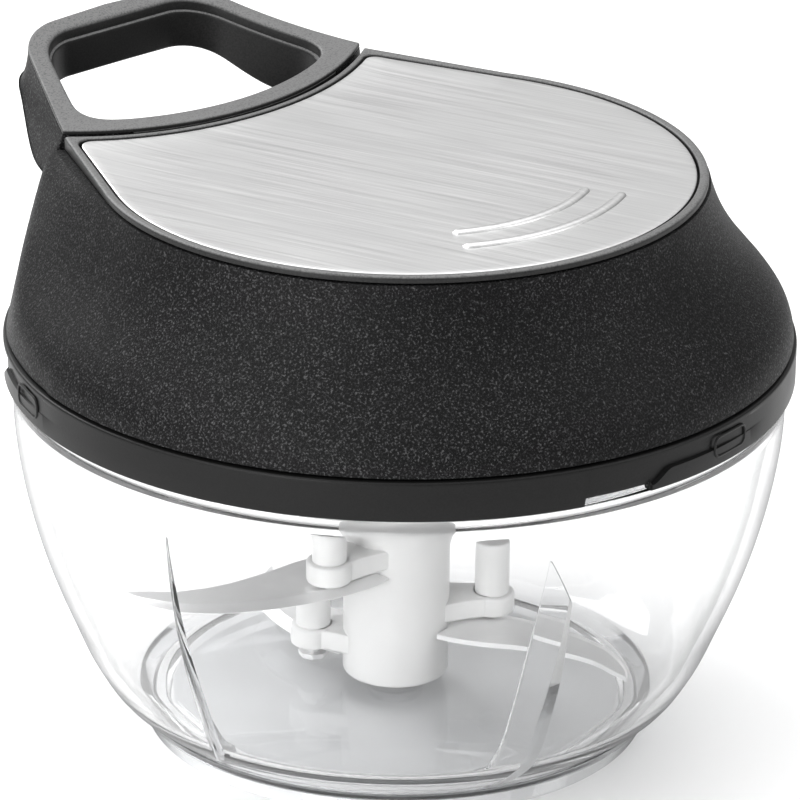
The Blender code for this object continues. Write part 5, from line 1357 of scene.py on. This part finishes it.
def make_bezel():
    outer = [Vector(point) for point in rim_outline(0, 0, SEAT_GAP)]
    inner = [Vector(point) for point in rim_outline(BEZEL_WIDTH, BEZEL_SEAM_WIDTH, PLATE_CORNER)]
    low = DECK_TOP + SEAT_GAP
    sections = []
    for a, b in zip(outer, inner):
        ring = [(a.x, a.y, low)]
        for share, drop in BEZEL_CROWN:
            place = a.lerp(b, share)
            ring.append((place.x, place.y, top_height(place.y) - drop))
        ring.append((b.x, b.y, low))
        sections.append(ring)
    return finished("smooth_bezel", ring_solid("bezel", sections), "grained_plastic", "top_bezel", 40)


def make_plate():
    rows = [(1.0, PLATE_THICKNESS), *PLATE_ROUND] + [(share, 0.0) for share in PLATE_RINGS]
    rows += [(0.0, 0.0), (0.0, PLATE_THICKNESS)] + [(share, PLATE_THICKNESS) for share in PLATE_BACK_RINGS]
    sections = []
    for point in rim_outline(BEZEL_WIDTH + PLATE_GAP, BEZEL_SEAM_WIDTH + PLATE_GAP, PLATE_CORNER):
        ring = []
        for share, drop in rows:
            x, y = Vector(point) * share
            ring.append((x, y, top_height(y) - PLATE_DROP - drop))
        sections.append(ring)
    plate = ring_solid("plate", sections)
    ridges = []
    for i, radius in enumerate(RIDGE_RADII):
        around = arc(radius, -90 - RIDGE_HALF_ANGLE, -90 + RIDGE_HALF_ANGLE, 90)
        points = [(x, y, RIM_PLANE - PLATE_DROP) for x, y in around]
        ridges.append(tube(f"ridge_{i + 1}", points, RIDGE_HALF_WIDTH, 16, False, RIDGE_HEIGHT_SHARE))
    return finished("brushed_top", plate, "brushed_plate", "top_plate", more=ridges)


# The handle


def handle_section_ways():
    """Directions round the handle, with its two seam corners among them."""
    corner = seam_corner(HANDLE_SIDE, HANDLE_RADIUS)
    x, y = polar(HANDLE_RADIUS, 270 + corner)
    at = math.degrees(math.atan2(y + SEAM_CENTRE_Y - HANDLE_CENTRE[1], x - HANDLE_CENTRE[0]))
    made = set(np.round(spread(-180, 179, 360), 3))
    for middle in (at, -180 - at):
        made |= {round(middle + step, 3) for step in (-1.2, -0.6, -0.3, 0, 0.3, 0.6, 1.2)}
    return sorted(made)


def level_at(height):
    """The handle's outline numbers at a height over the rim's plane, smooth between the levels."""
    levels = sorted(HANDLE_LEVELS)
    return tuple(share_curve([(level[0], level[k]) for level in levels], height) for k in (1, 2, 3))


def outer_ways(height, inset, ways):
    side_growth, end_growth, corner = level_at(height)
    side = HANDLE_SIDE + side_growth
    end = HANDLE_END + end_growth
    right = round_end(side, end, corner, inset, 25)
    seam = HANDLE_RADIUS - inset
    at = seam_corner(side - inset, seam)
    near = arc(seam, 270 - at, 270 + at, 61, (0, SEAM_CENTRE_Y))
    left = [(-x, y) for x, y in reversed(right)]
    outline = near + right + [(0, end - inset + END_BULGE)] + left
    return by_rays(outline, HANDLE_CENTRE, ways)


class Handle:
    """Distances from the handle's centre to its walls, for the section in each direction."""

    def __init__(self):
        self.ways = handle_section_ways()
        self.heights = np.linspace(HANDLE_LOW, HANDLE_HIGH, HANDLE_WALL_LEVELS)
        self.walls = np.array([outer_ways(height, 0, self.ways) for height in self.heights])
        self.holes = {grow: by_rays(hole_outline(grow), HANDLE_CENTRE, self.ways)
                      for grow in (0, HOLE_LEDGE, LINING, LINING + SEAT_GAP)}

    def place(self, i, reach):
        x, y = polar(reach, self.ways[i])
        return x + HANDLE_CENTRE[0], y + HANDLE_CENTRE[1]

    def wall(self, i, height):
        return float(np.interp(height - RIM_PLANE, self.heights, self.walls[:, i]))

    def top(self, i, reach, drop=0.0):
        x, y = self.place(i, reach)
        return (x, y, top_height(y) + FRAME_LIFT - drop)

    def under(self, i, reach, rise=0.0):
        x, y = self.place(i, reach)
        return (x, y, tail_height(y) + rise)

    def at(self, i, reach, z):
        x, y = self.place(i, reach)
        return (x, y, z)


def settle_height(handle, i, height_of):
    """The wall's reach where its height is the one that height_of gives at that place."""
    reach = handle.wall(i, RIM_PLANE)
    for _ in range(6):
        z = height_of(handle.place(i, reach)[1])
        reach = handle.wall(i, z)
    return reach, z


def body_section(handle, i):
    """The handle's body in one direction: outer wall, rounded foot, underside, and its seat for the frame."""
    gap = SEAT_GAP / 2
    reach_high, z_high = settle_height(handle, i, lambda y: top_height(y) + FRAME_LIFT - FRAME_EDGE - gap)
    reach_low, z_low = settle_height(handle, i, tail_height)
    hole = handle.holes[LINING + SEAT_GAP][i]
    ring = [handle.top(i, reach_high - FRAME_INSET, FRAME_EDGE + gap)]
    ring.append(handle.at(i, reach_high - 0.0002, z_high + 0.00002))
    for share in spread(0.004, 0.93, 22):
        z = z_high + (z_low - z_high) * share
        ring.append(handle.at(i, handle.wall(i, z), z))
    room = max(reach_low - hole, BODY_LEAST_ROOM)
    ease = min(BODY_ROUND_REACH, room * 0.3)
    for rise, inward in BODY_ROUND:
        ring.append(handle.under(i, reach_low - ease * inward, rise))
    for share in (0.5, 0.75):
        ring.append(handle.under(i, reach_low - ease + (hole - reach_low + ease) * share))
    ring.append(handle.under(i, hole))
    under_frame = FRAME_THICKNESS + gap
    ring.append(handle.top(i, hole, under_frame))
    ring.append(handle.top(i, reach_high - FRAME_INSET, under_frame))
    return ring


def frame_section(handle, i):
    """The handle's frame in one direction: rounded rim, ledge round the hole, and the hole's lining."""
    reach, _ = settle_height(handle, i, lambda y: top_height(y) + FRAME_LIFT - FRAME_EDGE)
    hole = handle.holes[0][i]
    ledge = handle.holes[HOLE_LEDGE][i]
    back = handle.holes[LINING][i]
    ring = [handle.top(i, reach - FRAME_INSET, FRAME_EDGE), handle.top(i, reach, FRAME_EDGE)]
    for inward, drop in FRAME_OUTER_ROUND:
        ring.append(handle.top(i, reach - inward, drop))
    start, end = reach - FRAME_OUTER_ROUND[-1][0], ledge + FRAME_INNER_ROUND[0][0]
    for share in (0.25, 0.5, 0.75):
        ring.append(handle.top(i, start + (end - start) * share))
    for outward, drop in FRAME_INNER_ROUND:
        ring.append(handle.top(i, ledge + outward, drop))
    ring.append(handle.top(i, ledge, FRAME_THICKNESS - 0.0001))
    for inward, drop in LEDGE_ROUND:
        ring.append(handle.top(i, ledge + (hole - ledge) * inward, FRAME_THICKNESS + drop))
    x, y = handle.place(i, hole)
    high = top_height(y) + FRAME_LIFT - FRAME_THICKNESS - LEDGE_ROUND[-1][1]
    low = tail_height(y)
    for share in (0.3, 0.6, 0.9):
        ring.append((x, y, high + (low - high) * share))
    ring += [handle.under(i, hole + 0.00005, 0.0003), handle.under(i, hole + 0.0003, 0.0)]
    ring += [handle.under(i, back), handle.top(i, back, FRAME_THICKNESS),
             handle.top(i, reach - FRAME_INSET, FRAME_THICKNESS)]
    return ring


def heal(piece):
    """Lets the piece's cuts cope with walls that cross each other."""
    for step in piece.modifiers:
        step.use_self = True


def bar_block(name, half, high):
    """The box round the bar behind the seam, where the handle's frame fills the body."""
    end = SEAM_Y + BAR_REACH
    return flat(name, [[(-half, 0), (half, 0), (half, end), (-half, end)]], BAND_LOW, high)


def make_handle():
    handle = Handle()
    count = len(handle.ways)
    high = RIM_PLANE + TOP_RISE
    body = ring_solid("body", [body_section(handle, i) for i in range(count)])
    bar = ring_solid("seam_bar", [body_section(handle, i) for i in range(count)])
    keep_inside(bar, bar_block("bar_block", BAR_HALF_WIDTH, high))
    cut(bar, along_y("anchor_bore", CORD_RADIUS + RUN_GAP, SEAM_Y - OVERRUN, ferrule_y(), CORD_Z))
    cut(bar, round_bar("ferrule_pocket", FERRULE_RADIUS + SEAT_GAP, BAND_LOW,
                       CORD_Z + FERRULE_HEIGHT / 2 + SEAT_GAP, (0, ferrule_y())))
    heal(bar)
    bar = worked(bar, "seam_bar")
    cut(body, bar_block("bar_space", BAR_HALF_WIDTH + SEAT_GAP, high))
    for i, place in enumerate(handle_screw_places()):
        bottom = tail_height(place[1])
        cut(body, round_bar(f"counterbore_{i + 1}", HANDLE_SCREW_HEAD_RADIUS + SEAT_GAP, bottom - OVERRUN,
                            bottom + SCREW_HEAD_HEIGHT + SEAT_GAP, place))
        cut(body, round_bar(f"screw_bore_{i + 1}", SCREW_RADIUS + SEAT_GAP, bottom - OVERRUN, high, place))
    heal(body)
    finished("speckled_handle", body, "speckled_plastic", "handle_body")
    top = ring_solid("top_frame", [frame_section(handle, i) for i in range(count)])
    finished("smooth_frame", top, "grained_plastic", "handle_frame", more=[bar])


def make_cord():
    made = tube("drawn_cord", curved(cord_points(), 3), CORD_RADIUS)
    made = finished("drawn_cord", made, "cord", "pull_cord", 60, rides=False)
    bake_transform(made)
    return made


make_bowl()
make_hub()
for blade in BLADES:
    make_blade(*blade)
make_band()
make_skirt()
make_bezel()
make_plate()
make_handle()
make_cord()


# The floor, the light and the camera

FLOOR_REACH = 6.0
# Sky: grey at a share of the way up
SKY_STOPS = ((0.0, 0.12), (0.20, 0.22), (0.55, 0.60), (1.0, 0.85))
SKY_STRENGTH = 1.25
# Lamps: name, place, the place that it faces, width and height, watts
LAMPS = (
    ("soft_left", (-1.1, 0.1, 0.9), (0, 0, 0.07), (0.7, 0.7), 6),
    ("soft_top", (0.2, 0.4, 1.3), (0, 0, 0.07), (1.4, 1.4), 9),
    ("front_left", (-0.84, -0.24, 0.28), (0, 0, 0.06), (0.35, 0.35), 3),
    ("glow_left", (-0.02, 0.52, 0.42), (-0.02, 0.02, 0.095), (0.4, 0.3), 2.0),
    ("soft_right", (0.6, -0.9, 0.6), (0, 0, 0.07), (0.4, 0.6), 2.5),
)
# Camera at the photograph's view: degrees, metres, and the lens in millimetres
CAMERA_TURN = -44.0
CAMERA_LIFT = 22.62
CAMERA_ROLL = 0.82
CAMERA_DISTANCE = 0.9
CAMERA_AIM_HEIGHT = 0.05415
CAMERA_AIM_RIGHT = 0.00015
CAMERA_LENS = 253.8


def floor():
    look = Look("pale_floor")
    wide = look.noise(3, 2.0, 0.5)
    look.colour(look.colours(wide, [(0.3, (0.93, 0.93, 0.93)), (0.7, (0.96, 0.96, 0.96))]))
    look.plain(Roughness=0.6)
    mesh = bpy.data.meshes.new("floor")
    corners = [(x * FLOOR_REACH, y * FLOOR_REACH, 0) for x, y in ((-1, -1), (1, -1), (1, 1), (-1, 1))]
    mesh.from_pydata(corners, [], [(0, 1, 2, 3)])
    made = bpy.data.objects.new("floor", mesh)
    bpy.context.scene.collection.objects.link(made)
    mesh.materials.append(look.made)


def lamp(name, place, target, size, power):
    data = bpy.data.lights.new(name, "AREA")
    data.shape = "RECTANGLE"
    data.size, data.size_y = size
    data.energy = power
    made = bpy.data.objects.new(name, data)
    made.location = place
    aim = Vector(target) - Vector(place)
    made.rotation_euler = aim.to_track_quat("-Z", "Y").to_euler()
    bpy.context.scene.collection.objects.link(made)
    return made


def studio():
    world = bpy.data.worlds.new("studio")
    world.use_nodes = True
    tree = world.node_tree
    sky = tree.nodes["Background"]
    where = tree.nodes.new("ShaderNodeTexCoord")
    split = tree.nodes.new("ShaderNodeSeparateXYZ")
    bar = tree.nodes.new("ShaderNodeValToRGB")
    tree.links.new(where.outputs["Generated"], split.inputs[0])
    tree.links.new(split.outputs["Z"], bar.inputs["Fac"])
    tree.links.new(bar.outputs["Color"], sky.inputs["Color"])
    while len(bar.color_ramp.elements) < len(SKY_STOPS):
        bar.color_ramp.elements.new(0.5)
    for element, (place, grey) in zip(bar.color_ramp.elements, SKY_STOPS):
        element.position = place
        element.color = (grey, grey, grey, 1.0)
    sky.inputs["Strength"].default_value = SKY_STRENGTH
    bpy.context.scene.world = world
    for values in LAMPS:
        lamp(*values)


def camera():
    turn, lift = math.radians(CAMERA_TURN), math.radians(CAMERA_LIFT)
    toward = Vector((math.sin(turn) * math.cos(lift), -math.cos(turn) * math.cos(lift), math.sin(lift)))
    right = Vector((math.cos(turn), math.sin(turn), 0))
    aim = Vector((0, 0, CAMERA_AIM_HEIGHT)) + right * CAMERA_AIM_RIGHT
    data = bpy.data.cameras.new("camera")
    data.lens = CAMERA_LENS
    data.sensor_width = 36
    data.clip_start = 0.01
    data.clip_end = 50
    made = bpy.data.objects.new("camera", data)
    made.location = aim + toward * CAMERA_DISTANCE
    look_at = (-toward).to_track_quat("-Z", "Y").to_matrix().to_4x4()
    roll = Matrix.Rotation(math.radians(CAMERA_ROLL), 4, "Z")
    made.rotation_euler = (look_at @ roll).to_euler()
    bpy.context.scene.collection.objects.link(made)
    bpy.context.scene.camera = made


floor()
studio()
camera()
bpy.context.scene.view_settings.view_transform = "Standard"
